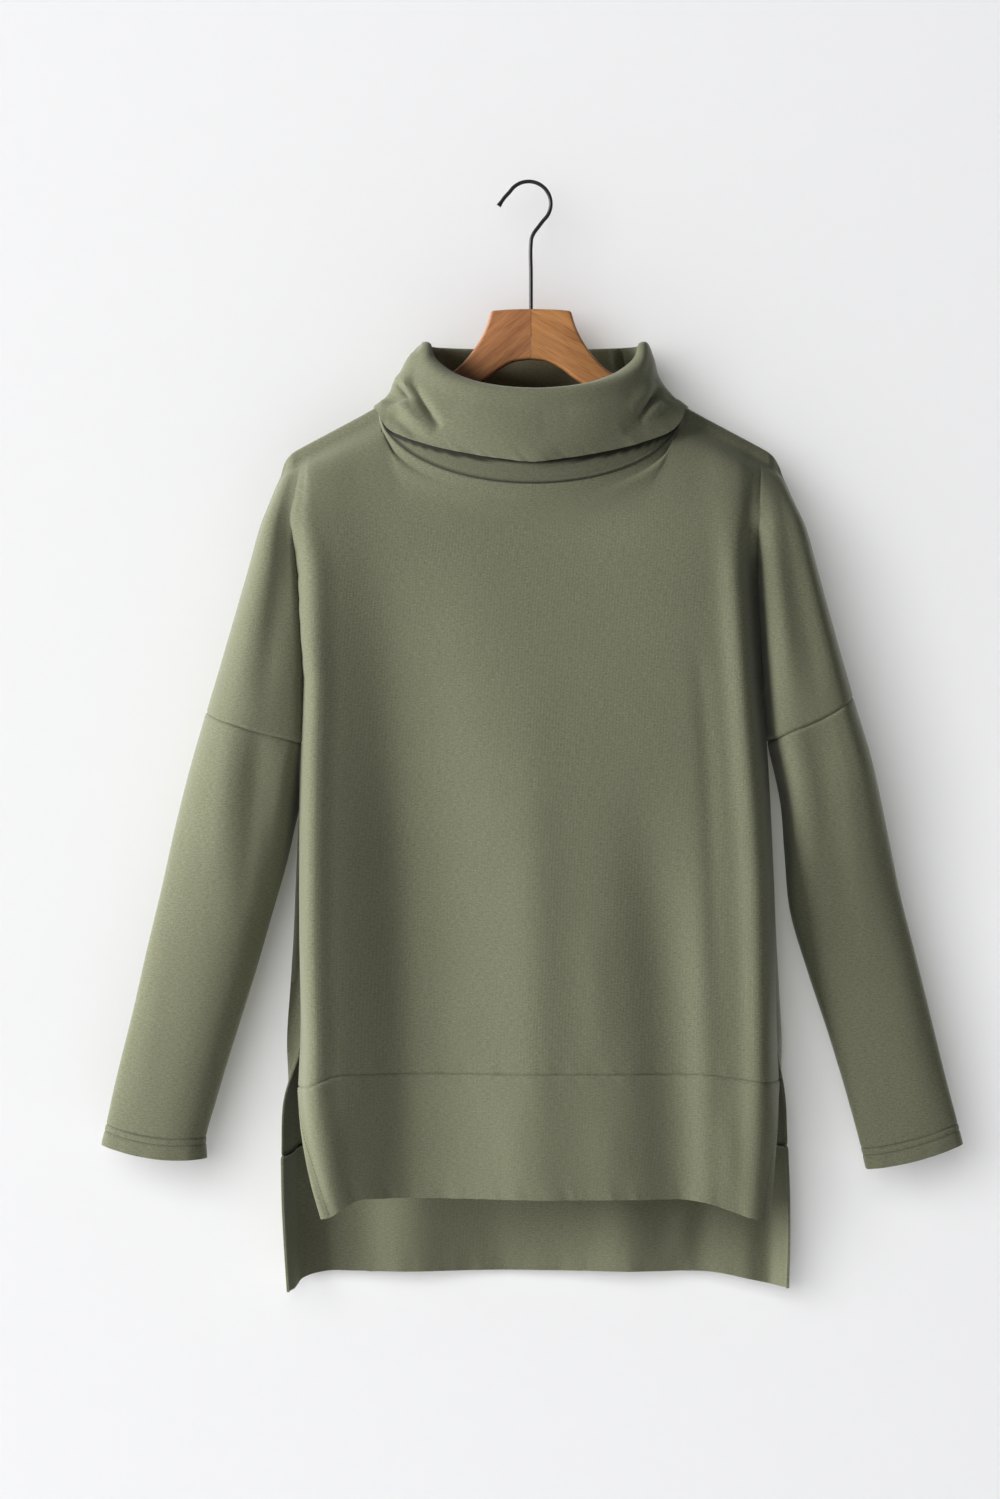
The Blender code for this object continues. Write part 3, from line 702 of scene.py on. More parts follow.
rows, columns = Fine(band_rows(FRONT_PANEL), 0.0042).points.shape[:2]
print("the front band as a fine grid:", rows, "rows of", columns, "points")

# %% [markdown]
# ## What a hand would do to the cloth
# Three small moves turn a smooth sheet into worn cloth. Beside a seam the cloth dips into
# the stitches. Where it is squeezed it makes creases, each of them a soft ridge or trough
# along a short curve. And along a seam it waves a little, because the thread is tighter
# than the knit. All three are distances along the surface's normal, so they can be added
# up and applied in one push. A seam is thinner than any grid, so its line is also kept as a
# mask on the points, and the finish paints shade into the cloth's colour there.

# %% Hanging folds
FOLD_REACH = 600.0       # length of a hanging fold, from the yoke line
FACE_EDGE = 11.0         # the folds fade out over this width at the sides of the face
SLIT_FADE = 60.0         # but not below the slits, from this far down


def hang(fine, panel, pinned=0.0):
    """Moves the face between its two sides in or out by the panel's hanging folds. They
    grow from nothing over the pinned length below the first row, where a seam holds it."""
    x, z = fine.points[..., 0] / MM, fine.points[..., 2] / MM
    heights = [-s.z for s in panel.sections]
    left = np.interp(-z, heights, [s.nose_l for s in panel.sections])
    right = np.interp(-z, heights, [s.nose_r for s in panel.sections])
    inside = soft((x - left + 1) / FACE_EDGE) * soft((right + 1 - x) / FACE_EDGE)
    inside = mix(inside, 1.0, soft((SLIT_Z - z) / SLIT_FADE))
    down = (YOKE_Z - z) / FOLD_REACH
    total = np.zeros(x.shape)
    for f in panel.folds:
        grown = soft((z - f.z_start) / (f.z_full - f.z_start))
        ridge = bend(down, f.x_yoke, f.x_middle, f.x_hem)
        total += f.out * grown * bell(x - ridge, f.width)
    if pinned:
        total *= soft(fine.lengths(0) / pinned)
    fine.points[..., 1] += panel.sign * total * inside * MM


print("the folds hang from", YOKE_Z, "mm down")

# %% Creases
CREASE = "x1 z1 x2 z2 x3 z3 width out"        # three points of it, then its size
ON_CREASE = 33           # points along a crease from which distances are taken
SPLIT = 8.0              # a front or back crease is full this far from the middle plane


def crease_amount(fine, creases, near=0):
    """Metres in or out at each point. near is -1 for creases of the front side only, 1 for
    the back side only."""
    x, y, z = (fine.points[..., k] / MM for k in range(3))
    total = np.zeros(x.shape)
    t = np.linspace(0, 1, ON_CREASE)
    for c in creases:
        cx, cz = bend(t, c.x1, c.x2, c.x3), bend(t, c.z1, c.z2, c.z3)
        away = (x[..., None] - cx) ** 2 + (z[..., None] - cz) ** 2
        taper = np.sin(np.pi * t[away.argmin(axis=-1)]) ** 0.7
        total += c.out * MM * bell(np.sqrt(away.min(axis=-1)), c.width) * taper
    return total * soft(near * y / SPLIT) if near else total


print("a crease is given by", CREASE)

# %% Seams and waves
LINE_WIDTH = 0.0006      # half the width of the painted shade in a seam, metres
WAVES = (11.0, 17.0, 26.0, 41.0)              # lengths of the small waves along a seam


def seam_amount(fine, axis, line, depth=0.0018, width=0.0010, where=1.0, shade=1.0):
    """The dip beside a line of the grid, as deep as the stitches pull it. The line also gets
    painted shade in the cloth's mask, as strong as shade.
    """
    away = fine.lengths(axis)
    away = away - np.take(away, [line], axis)
    fine.seam = np.maximum(fine.seam, bell(away, LINE_WIDTH) * where * shade)
    return -depth * bell(away, width) * where


def wave_amount(fine, axis, line, size, reach, seed):
    """Small uneven waves that run along a line of the grid and die out away from it."""
    lengths = fine.lengths(axis)
    away = lengths - np.take(lengths, [line], axis)
    run = fine.lengths(1 - axis) / MM
    rng = np.random.default_rng(seed)
    wave = np.zeros(run.shape)
    for length in WAVES:
        wave += np.sin(2 * np.pi * run / length + rng.uniform(0, 6.28)) * rng.uniform(0.5, 1)
    return size * wave / 2 * bell(away, reach)


print("waves of", WAVES, "mm are added up along a seam")

# %% [markdown]
# ## A sheet with a wall
# Each piece becomes an open surface with a Solidify modifier for its wall. A narrow Bevel
# rounds the cut or folded edges, as cloth never ends in a knife edge. The UV map is laid
# out in metres of cloth, so that the knit's ribs run down a sleeve that hangs at a slant.

# %% Objects and walls
panels, cloth = {}, {}      # fine grids and objects, by the name of the solid


def add_object(name, data):
    obj = bpy.data.objects.new(name, data)
    bpy.context.scene.collection.objects.link(obj)
    return obj


def smooth_object(name, bm):
    """A finished bmesh as an object with smooth shading."""
    bmesh.ops.recalc_face_normals(bm, faces=bm.faces)
    mesh = bpy.data.meshes.new(name)
    bm.to_mesh(mesh)
    bm.free()
    mesh.shade_smooth()
    return add_object(name, mesh)


def thicken(obj, wall, offset, edge, segments, angle):
    """A wall with rounded edges: outside the surface at offset 1, half on each side at 0.
    Gives back the Bevel."""
    solid = obj.modifiers.new("Wall", "SOLIDIFY")
    solid.thickness, solid.offset = wall, offset
    rim = obj.modifiers.new("Rounded edge", "BEVEL")
    rim.width, rim.segments = edge, segments
    rim.limit_method, rim.angle_limit = "ANGLE", math.radians(angle)
    return rim


def drop_loose_points(mesh):
    """Removes points that belonged only to squares that were left out."""
    bm = bmesh.new()
    bm.from_mesh(mesh)
    loose = [p for p in bm.verts if not p.link_faces]
    bmesh.ops.delete(bm, geom=loose, context="VERTS")
    bm.to_mesh(mesh)
    bm.free()

# %% Build one sheet
CLOSING = 0.004          # width of the last column of squares in a tube's UV map


def add_sheet(key, name, fine, wall, offset, outward, keep=None, edge=0.0005):
    """The object for a grid, or for those of its squares that keep lets through."""
    rows, columns = fine.points.shape[:2]
    across, down = fine.lengths(1), fine.lengths(0)
    u = across - across[:, [columns // 2]]
    v = down - fine.points[[0], :, 2]
    faces, uvs = [], []
    for r in range(rows - 1):
        for i in range(columns if fine.closed else columns - 1):
            j = (i + 1) % columns
            if keep is not None and not keep(r, i):
                continue
            corners = [(r, i), (r + 1, i), (r + 1, j), (r, j)]
            if outward > 0:
                corners.reverse()
            faces.append([a * columns + b for a, b in corners])
            wrap = across[r, -1] - across[r, 0] + CLOSING if j < i else 0.0
            uvs += [(u[a, b] + (wrap if b == j else 0.0), -v[a, b]) for a, b in corners]
    mesh = bpy.data.meshes.new(name)
    mesh.from_pydata(fine.points.reshape(-1, 3).tolist(), [], faces)
    layer = mesh.uv_layers.new(name="cloth")
    layer.data.foreach_set("uv", np.array(uvs, dtype=np.float32).ravel())
    # The points keep the mask of painted shade, for seams and under the collar, as the seam
    # attribute.
    mask = mesh.attributes.new("seam", "FLOAT", "POINT")
    mask.data.foreach_set("value", fine.seam.astype(np.float32).ravel())
    drop_loose_points(mesh)
    mesh.shade_smooth()
    obj = add_object(name, mesh)
    thicken(obj, wall, offset, edge, segments=2, angle=60).harden_normals = True
    panels[key], cloth[key] = fine, obj
    print(name, len(faces), "quads,", round(sum(f.area for f in mesh.polygons), 4), "m2")

# %% [markdown]
# ## The front and the back
# The body hangs from the shoulders, so its folds are long and upright: they start below
# the chest and are deepest at the hem. The arms fall beside it, each with one ridge from
# the tip of the hanger down to the sleeve. The back isn't seen on a shop's wall, but it
# hangs from the same wood, so it gets folds of the same kind in other places.

# %% Creases of the two panels
FRONT_CREASES = table(CREASE, [
    (-214, -262, -232, -340, -252, -440, 10, 1.6),
    (-206, -300, -218, -370, -234, -458, 10, -1.4),
    (-199, -262, -195, -350, -190, -430, 7, 5.0),
    (204, -262, 212, -350, 222, -450, 8, 1.8),
    (220, -300, 234, -380, 248, -452, 11, -1.4),
    (141, -400, 152, -530, 156, -720, 7, -1.4),
    (-60, -700, -56, -735, -54, -765, 12, 0.6),
    (48, -640, 55, -700, 58, -765, 12, 0.7),
])
BACK_CREASES = table(CREASE, [
    (-208, -280, -226, -352, -246, -440, 11, 2.4),
    (204, -282, 222, -356, 243, -442, 12, 2.6),
    (-60, -240, -92, -300, -132, -380, 16, 1.6),
    (64, -238, 98, -305, 140, -392, 16, 1.5),
    (-165, -460, -172, -600, -168, -790, 12, -1.8),
    (20, -520, 26, -660, 24, -820, 18, -1.8),
    (168, -520, 172, -650, 176, -800, 11, 1.8),
    (-70, -560, -64, -690, -58, -826, 15, 1.6),
])

# %% A fine panel with its seams
STEP = 0.0042            # between the lines of a panel's grid
PINNED = 0.035           # the neckline's seam holds the folds back over this length
NECK_SEAM = (146.0, 14.0)    # the neckline's seam is deep inside this x, and fades over
TIP_SEAM = (212.0, 14.0)     # the shoulder seam ends at the tips


def add_panel(panel, creases):
    """The panel as a fine grid, with its dips, creases and waves pushed in."""
    fine = Fine(
        panel_rows(panel), STEP, fine_rows=[0, LAST_ARM_ROW, -1],
        fine_columns=[0, SIDE_L, SIDE_R, -1], part=slice(ARM_STEPS + 3, -ARM_STEPS - 3))
    hang(fine, panel, PINNED)
    arm_row = fine.row[LAST_ARM_ROW]
    left, right = fine.column[SIDE_L], fine.column[SIDE_R]
    rows, columns = np.indices(fine.points.shape[:2])
    over_arm = (columns <= left) | (columns >= right)
    above = rows <= arm_row
    closed_side = (rows >= arm_row) & (fine.points[..., 2] > SLIT_Z * MM)
    aside = abs(fine.points[..., 0]) / MM
    at_neck, inside_tips = (
        soft((start - aside) / fade) for start, fade in (NECK_SEAM, TIP_SEAM))
    # Each seam line also gets painted shade in the mask; the edges over the arms get less of
    # it.
    amount = seam_amount(fine, 0, 0, where=at_neck)
    amount += seam_amount(fine, 0, 0, depth=0.0003, where=inside_tips * (1 - at_neck))
    amount += seam_amount(fine, 0, arm_row, where=over_arm & above)
    amount += seam_amount(fine, 0, -1)
    for line in (0, -1):
        amount += seam_amount(fine, 1, line, depth=0.0006, where=above, shade=0.3)
    for line in (left, right):
        amount += seam_amount(fine, 1, line, depth=0.0010, where=closed_side)
    amount += crease_amount(fine, creases)
    amount += wave_amount(fine, 0, -1, size=0.00035, reach=0.010, seed=3)
    fine.push(amount, panel.sign)
    add_sheet(panel.name, "tunic_" + panel.name, fine, CLOTH, 1.0, panel.sign,
              keep=lambda r, i: r < arm_row or left <= i < right)


add_panel(FRONT_PANEL, FRONT_CREASES)
add_panel(BACK_PANEL, BACK_CREASES)

# %% [markdown]
# ## Hem bands
# Each band is a strip folded double, so it is thicker and stiffer than the panel above it,
# and its lower edge is a fold. The seam holds it flat and the free edge waves a little.

# %% The two bands
FRONT_BAND_CREASES = table(CREASE, [
    (-176, -800, -172, -840, -168, -884, 10, 1.4),
    (-20, -790, -16, -830, -12, -876, 14, 0.9),
    (64, -800, 66, -840, 66, -876, 14, 0.8),
    (166, -800, 170, -840, 172, -884, 9, 1.2),
])
BACK_BAND_CREASES = table(CREASE, [
    (-150, -860, -146, -905, -142, -952, 16, 1.8),
    (-20, -860, -16, -905, -14, -948, 20, -1.4),
    (62, -850, 60, -900, 58, -948, 16, 1.4),
    (140, -850, 134, -900, 128, -950, 12, -2.2),
    (156, -850, 152, -900, 148, -950, 10, 1.6),
])


def add_band(panel, creases):
    fine = Fine(band_rows(panel), STEP, fine_rows=[0, -1], fine_columns=[0, -1])
    hang(fine, panel)
    amount = seam_amount(fine, 0, 0) + crease_amount(fine, creases)
    amount += wave_amount(fine, 0, 0, size=0.00030, reach=0.012, seed=5)
    amount += wave_amount(fine, 0, -1, size=0.00045, reach=0.014, seed=7)
    fine.push(amount, panel.sign)
    name = panel.name + "_band"
    add_sheet(name, "tunic_" + name, fine, DOUBLE_CLOTH, 0.7, panel.sign, edge=0.0008)


add_band(FRONT_PANEL, FRONT_BAND_CREASES)
add_band(BACK_PANEL, BACK_BAND_CREASES)

# %% [markdown]
# ## Sleeves
# A sleeve hangs from the ridge of the upper arm, so the ridge runs on into it and fades
# out towards the cuff. The cuff is turned up and held by two rows of stitches, which
# press two fine grooves into the knit.

# %% The two sleeves
SLEEVE_CREASES = {
    "left": table(CREASE, [
        (-254, -452, -262, -520, -272, -610, 11, 1.6),
        (-234, -470, -238, -540, -250, -640, 9, -1.8),
        (-213, -486, -215, -555, -226, -640, 8, 2.2),
        (-318, -640, -330, -730, -344, -820, 12, 0.8),
    ]),
    "right": table(CREASE, [
        (222, -455, 232, -530, 246, -620, 9, 1.6),
        (244, -460, 258, -550, 280, -680, 12, -1.4),
        (316, -640, 328, -730, 342, -820, 14, 0.8),
    ]),
}
BACK_SLEEVE_CREASES = {
    "left": table(CREASE, [
        (-256, -460, -270, -580, -296, -720, 14, 2.2),
        (-232, -490, -246, -590, -266, -700, 12, -1.8),
    ]),
    "right": table(CREASE, [
        (254, -455, 272, -575, 300, -720, 14, 2.0),
        (236, -490, 250, -590, 270, -700, 12, -1.8),
    ]),
}
CUFF_ROWS = (0.0185, 0.0125)     # stitch rows above the cuff's edge
CUFF_GROOVE = (0.0007, 0.0011)   # depth and width of the groove under each
CUFF_SHADE = 0.5                 # and the painted shade in it
CUFF_FOLD = 0.0003               # the turned-up cuff stands out below them


def add_sleeve(side, out):
    fine = Fine(sleeve_rings(side), 0.0040, fine_rows=[0, -1], closed=True,
                above_last=CUFF_ROWS)
    amount = seam_amount(fine, 0, 0)
    amount += crease_amount(fine, SLEEVE_CREASES[side], near=-1)
    amount += crease_amount(fine, BACK_SLEEVE_CREASES[side], near=1)
    above_edge = fine.lengths(0)[[-1], :] - fine.lengths(0)
    for row in CUFF_ROWS:
        amount -= CUFF_GROOVE[0] * bell(above_edge - row, CUFF_GROOVE[1])
        # Painted shade along the groove under each row of stitches.
        shade = CUFF_SHADE * bell(above_edge - row, LINE_WIDTH)
        fine.seam = np.maximum(fine.seam, shade)
    amount += CUFF_FOLD * (above_edge < CUFF_ROWS[0])
    amount += wave_amount(fine, 0, -1, size=0.0004, reach=0.012, seed=11)
    fine.push(amount, out)
    name = "sleeve_" + side
    add_sheet(name, name + "_cloth", fine, CLOTH, 1.0, out)


for side, out in OUT.items():
    add_sleeve(side, out)

# %% [markdown]
# ## The turned-down collar
# The collar is the main fold of the tunic. It stands up inside, rolls over and falls to
# just above its own seam. At both sides the outer layer is too long for the bend, so it
# buckles into a knuckle with a trough that runs down towards the front. Below the seam a
# narrow allowance lies flat inside the neckline, as on any sewn collar.

# %% Creases of the collar
COLLAR_FRONT = table(CREASE, [
    (-101, -179, -92, -197, -77, -217, 3.8, -6.2),
    (-113, -190, -102, -206, -84, -219, 4.6, 3.8),
    (-116, -173, -111, -183, -105, -190, 2.2, -3.8),
    (-110, -172, -105, -181, -103, -190, 2.6, 3.4),
    (-122, -199, -110, -213, -90, -226, 4.0, -1.8),
    (-101, -150, -98, -145, -94, -141, 2.4, -2.2),
    (111, -180, 101, -195, 91, -209, 2.8, -5.0),
    (106, -176, 96, -188, 84, -200, 4.6, 1.8),
    (116, -185, 107, -198, 96, -211, 3.6, 2.6),
    (104, -201, 92, -212, 76, -219, 6.0, -1.8),
    (110, -186, 118, -191, 128, -196, 2.6, 2.6),
    (-60, -196, -30, -212, 10, -214, 14.0, 1.0),
    (30, -205, 60, -198, 84, -186, 12.0, 0.8),
])
COLLAR_SIDES = table(CREASE, [    # the knuckles also show in the outline
    (-128, -192, -115, -190, -101, -187, 4.0, -4.0),
    (-124, -174, -112, -175, -102, -176, 7.0, 2.6),
    (-124, -200, -115, -198, -105, -195, 2.6, 2.2),
    (128, -193, 115, -190, 101, -187, 4.4, -3.8),
    (124, -201, 114, -199, 105, -196, 2.6, 2.0),
])
COLLAR_BACK = table(CREASE, [
    (-108, -172, -98, -184, -80, -196, 4.6, -3.2),
    (-114, -184, -104, -195, -86, -204, 4.6, 2.4),
    (108, -174, 97, -186, 78, -196, 4.6, -3.4),
    (115, -185, 105, -196, 86, -204, 4.6, 2.6),
    (-40, -160, 0, -178, 44, -164, 13.0, 1.2),
])
STAND_BACK = table(CREASE, [
    (79, -139, 80, -150, 83, -162, 2.2, -2.6),
    (73, -140, 74, -150, 76, -162, 2.6, 1.8),
    (-84, -140, -82, -150, -80, -162, 3.2, 1.4),
])
ROLL_ROW = 6            # ring of the collar at the top of the roll, after the allowance
ALLOWANCE = (5.0, 1.6)  # how far the allowance runs down and lies inside the panels
EDGE_SHADE = (0.0024, 0.0016, 0.012)    # painted shadow under the turned-down edge: from below it, over, and up to this height
STAND_SHADE = 0.26      # painted shade on the rest of the stand under the collar: how dark
STAND_DARK = (-0.150, 0.030)            # that painted shade sets in from this height down, over this length
print(len(COLLAR_FRONT), "creases at the front of the collar")


# %% The collar
def tucked(ring):
    """The allowance below the first ring, which lies inside the neckline."""
    down, inside = ALLOWANCE
    tuck = []
    for p in ring:
        ahead = min(abs(p.y) / (40 * MM), 1.0)
        tuck.append(Vector((
            p.x * (1 + 0.02 * ahead), p.y * (1 - 0.03 * ahead), p.z - down * MM)))
        tuck[-1].y -= math.copysign(inside * MM * ahead, p.y)
    return tuck


rings = collar_rings()
fine = Fine([tucked(rings[0])] + rings, 0.0022, fine_rows=[1, -1], closed=True)
rows, _ = np.indices(fine.points.shape[:2])
outer = rows >= fine.row[ROLL_ROW]
z = fine.points[..., 2]
above_edge = z - z[-1]
amount = seam_amount(fine, 0, fine.row[1])
# Painted shade on the stand: a dark line just under the collar's free edge, and lighter shade
# lower down, where the collar covers it.
below, fade, ends = EDGE_SHADE
under = soft((above_edge + below) / fade) * (above_edge < ends)
stand = STAND_SHADE * soft((STAND_DARK[0] - z) / STAND_DARK[1])
fine.seam = np.maximum(fine.seam, np.maximum(under, stand) * ~outer)
amount += crease_amount(fine, COLLAR_FRONT, near=-1) * outer
amount += crease_amount(fine, COLLAR_SIDES) * outer
amount += crease_amount(fine, COLLAR_BACK, near=1) * outer
amount += crease_amount(fine, STAND_BACK, near=1) * ~outer
amount += wave_amount(fine, 0, -1, size=0.0004, reach=0.010, seed=17)
fine.push(amount, 1)
add_sheet("collar", "cowl_collar", fine, DOUBLE_CLOTH, 0.0, 1, edge=0.0009)

# %% [markdown]
# ## Stitches
# A stitch is a short length of thread that sinks into the knit at both ends. Hundreds of
# them would be slow as separate objects, so each row is one joined mesh of small capsules,
# laid along a line that keeps a set distance from the cloth's edge.

# %% Lines at a distance from an edge
STITCH = 0.0021        # length of one stitch
STITCH_GAP = 0.0008    # cloth between two stitches
THREAD = 0.00023       # radius of the thread
SIDES = 6              # of the thread
NEAREST = 80           # points of a line that are looked at, from the edge


def line_beside(fine, axis, edge, away, lift, outward, span=None):
    """Points at a true distance from an edge line of the grid, lifted off the surface, each
    with its normal. axis is the direction in which the distance is measured."""
    lengths = fine.lengths(axis)
    lengths = np.abs(lengths - np.take(lengths, [edge], axis))
    normals = outward * fine.normals()
    both = np.concatenate([fine.points + normals * lift, normals], axis=2)
    if axis == 0:
        lengths, both = lengths.T, both.transpose(1, 0, 2)
    line = []
    for run, places in zip(lengths, both):
        order = np.argsort(run)[:NEAREST]
        spot = [np.interp(away, run[order], places[order, k]) for k in range(3)]
        if span is None or span(spot):
            near = order[np.argmin(abs(run[order] - away))]
            line.append([*spot, *places[near, 3:]])
    if fine.closed and axis == 0:
        line.append(line[0])
    return np.array(line)


# %% One row of stitches
def capsule(bm, a, b, normal):
    """A thread between two points, with ends that dip into the cloth."""
    side = (b - a).normalized().cross(normal).normalized()
    rings = []
    for share, size, rise in ((0.0, 0.5, -1.0), (0.22, 1.0, 0.2), (0.78, 1.0, 0.2),
                              (1.0, 0.5, -1.0)):
        middle = a.lerp(b, share) + normal * THREAD * rise
        turns = [2 * math.pi * k / SIDES for k in range(SIDES)]
        rings.append([bm.verts.new(middle + (
            side * math.cos(t) + normal * math.sin(t)) * THREAD * size) for t in turns])
    for one, two in zip(rings, rings[1:]):
        for k in range(SIDES):
            j = (k + 1) % SIDES
            bm.faces.new([one[k], one[j], two[j], two[k]])
    bm.faces.new(rings[0][::-1])
    bm.faces.new(rings[-1])


def stitch_piece(name, lines):
    """Capsules end to end along each line, joined in one mesh."""
    bm, count = bmesh.new(), 0
    for line in lines:
        run = spacing(line[:, None, :3], 0)

        def at_length(length, first):
            return Vector([np.interp(length, run, line[:, first + k]) for k in range(3)])

        start = STITCH_GAP
        while start + STITCH < run[-1]:
            normal = at_length(start + STITCH / 2, 3).normalized()
            capsule(bm, at_length(start, 0), at_length(start + STITCH, 0), normal)
            start += STITCH + STITCH_GAP
            count += 1
    print(name, count, "stitches")
    return smooth_object(name, bm)

# %% [markdown]
# ## Where the stitches run
# Twin rows hold up both cuffs. The slits at the sides are turned under and held by one
# row, on the front and on the back, and it runs on over the bands.

# %% Cuff and slit stitches
SLIT_STITCH = 0.0078    # from the slit's edge
ON_BAND = 0.86          # just over the share of a band's wall that lies outside its grid


def below_slit(spot):
    return spot[2] < (SLIT_Z - 1) * MM


stitches = {}           # by the name of the solid that they lie on
for side, out in OUT.items():
    fine = panels["sleeve_" + side]
    lines = [line_beside(fine, 0, -1, away, CLOTH, out) for away in CUFF_ROWS]
    stitches["sleeve_" + side] = stitch_piece("cuff_stitches_" + side, lines)
for panel in (FRONT_PANEL, BACK_PANEL):
    fine = panels[panel.name]
    body = fine.between(fine.column[SIDE_L], fine.column[SIDE_R])
    lines = [line_beside(body, 1, edge, SLIT_STITCH, CLOTH, panel.sign, below_slit)
             for edge in (0, -1)]
    stitches[panel.name] = stitch_piece("slit_stitches_" + panel.name, lines)
    band = panels[panel.name + "_band"]
    lines = [line_beside(band, 1, edge, SLIT_STITCH, DOUBLE_CLOTH * ON_BAND, panel.sign)
             for edge in (0, -1)]
    stitches[panel.name + "_band"] = stitch_piece("band_stitches_" + panel.name, lines)

# %% [markdown]
# ## The wooden hanger
# The hanger is two flat arms of beech, mitred in the middle. The joined board is rubbed
# round at its edges, so no edge is rounded along the mitre. The outline is a few measured
# points: curves run through them, but not across the corners. Solidify gives the board its
# thickness and Bevel its rounding.

# %% Outline of one arm
WOOD = 0.013             # thickness of the arms
WOOD_ROUND = 0.0024      # their rubbed edges
MITRE_GAP = 0.0003       # between the halves
WIRE = 0.0034            # diameter of the hook's wire
STEM_DEPTH = 0.024       # how far the stem goes into the wood
STEM_CLEAR = 0.0003      # around the stem in its bore
WOOD_TOP = -109.7        # where the hook's stem goes in
ARM_TOP = [(0, WOOD_TOP), (20, -110.2), (34.8, -111.4)]
ARM_REST = [             # from that corner round the tip and back to the mitre
    (34.8, -111.4), (38.5, -124), (43, -134), (52, -148), (64.5, -161.5), (80, -170.4),
    (105, -184.0), (131.0, -197.6), (150.0, -206.3), (200.0, -233.0), (204.5, -236.6),
    (207.5, -242), (207.8, -248), (204.5, -252.5), (198, -254), (180, -247), (155, -235.5),
    (131, -224), (105, -210.5), (80, -196), (60, -184), (46, -175), (38, -170),
    (27, -161.5), (14, -155), (0, -153.2),
]


def smooth_line(points, step):
    """Close points on a smooth curve through these, in the middle plane."""
    grid = np.array([[(x, 0.0, z)] for x, z in points])
    knots = spacing(grid, 0)
    return sample(grid, knots, stations(knots, step), 0)[:, 0]


def board():
    """The whole hanger in one piece, with rubbed edges, before it is sawn at the mitre."""
    first, rest = (smooth_line([(x * MM, z * MM) for x, z in part], 0.004).tolist()
                   for part in (ARM_TOP, ARM_REST))
    half = first[:-1] + rest
    whole = half[:-1] + [(-x, y, z) for x, y, z in reversed(half[1:])]
    bm = bmesh.new()
    bm.faces.new([bm.verts.new(p) for p in whole])
    obj = smooth_object("board", bm)
    thicken(obj, WOOD, 0.0, WOOD_ROUND, segments=4, angle=40)
    print("board of", len(whole), "points")
    return obj

# %% Bore and mitre
SHARP = math.radians(35)     # edges at a wider angle than this stay sharp

bpy.ops.mesh.primitive_cylinder_add(
    vertices=24, radius=WIRE / 2 + STEM_CLEAR, depth=STEM_DEPTH * 2,
    location=(0, 0, WOOD_TOP * MM))
bore = bpy.context.object
whole = board()
cut = whole.modifiers.new("Stem bore", "BOOLEAN")
cut.object, cut.solver = bore, "EXACT"
bpy.context.view_layer.update()
bored = bpy.data.meshes.new_from_object(
    whole.evaluated_get(bpy.context.evaluated_depsgraph_get()))
arms = {}
for side, out in OUT.items():
    bm = bmesh.new()
    bm.from_mesh(bored)
    everything = [*bm.verts, *bm.edges, *bm.faces]
    sawn = bmesh.ops.bisect_plane(
        bm, geom=everything, plane_co=(out * MITRE_GAP / 2, 0, 0), plane_no=(out, 0, 0),
        clear_inner=True)
    rim = [e for e in sawn["geom_cut"] if isinstance(e, bmesh.types.BMEdge)]
    bmesh.ops.triangle_fill(bm, edges=rim, use_beauty=True)
    bmesh.ops.recalc_face_normals(bm, faces=bm.faces)
    for edge in bm.edges:
        edge.smooth = edge.calc_face_angle(0) < SHARP
    mesh = bpy.data.meshes.new("wooden_arm_" + side)
    bm.to_mesh(mesh)
    bm.free()
    arms[side] = add_object(mesh.name, mesh)
bpy.data.objects.remove(bore, do_unlink=True)
bpy.data.objects.remove(whole, do_unlink=True)
print("arms bored and sawn apart")

# %% [markdown]
# ## The wire hook
# The hook is one length of wire: a small ball at its tip, a round bow, a bend and a
# straight stem. A curve with a round bevel is how wire is bent in life too: its middle line
# sets the shape, and its thickness changes only at the tip.

# %% Bend the hook
HOOK_TIP = [(-0.0281, -0.0196), (-0.0228, -0.0120)]
BOW_ROUND = 0.0194       # from the middle of the bow to the middle of the wire
BOW_X = -0.0021          # the bow's middle is a little left of the stem
BOW_TURNS = range(148, -49, -14)              # degrees
BEND = [(0.0065, -0.0378), (0.0024, -0.0434), (0.0004, -0.0480), (0.0, -0.052), (0.0, -0.08)]
STEM_SHORT = 0.0006      # the stem ends above the floor of its bore
TIP_BALL = 1.3           # how much thicker the wire is at its tip

bow = [(BOW_X + BOW_ROUND * math.cos(math.radians(turn)),
        WIRE / 2 - BOW_ROUND + BOW_ROUND * math.sin(math.radians(turn)))
       for turn in BOW_TURNS]
stem_end = (0.0, WOOD_TOP * MM - STEM_DEPTH + STEM_SHORT)
wire_points = smooth_line(HOOK_TIP + bow + BEND + [stem_end], 0.0025)
data = bpy.data.curves.new("wire_hook", "CURVE")
data.dimensions, data.bevel_depth, data.bevel_resolution = "3D", WIRE / 2, 4
data.use_fill_caps = True
spline = data.splines.new("POLY")
spline.points.add(len(wire_points) - 1)
for k, p in enumerate(wire_points):
    spline.points[k].co = (*p, 1)
    spline.points[k].radius = mix(TIP_BALL, 1.0, min(k / 2, 1.0))
wire_hook = add_object("wire_hook", data)
print("hook of", len(wire_points), "points")

# %% [markdown]
# ## Shared shader groups
# Three effects are used by more than one finish or piece, so each is a node group. One
# varies a colour softly over a surface, as dye, wood and paint all do. One is the knit: fine
# upright ribs crossed by short uneven yarns. The last paints shade into a colour where the
# cloth's own mask marks it: in a seam's groove and under the collar. A group gives only
# colours and heights; the shader stays in each material, where its gloss is plain to see.

# %% Helpers for node groups
GREY = (0.5, 0.5, 0.5, 1)


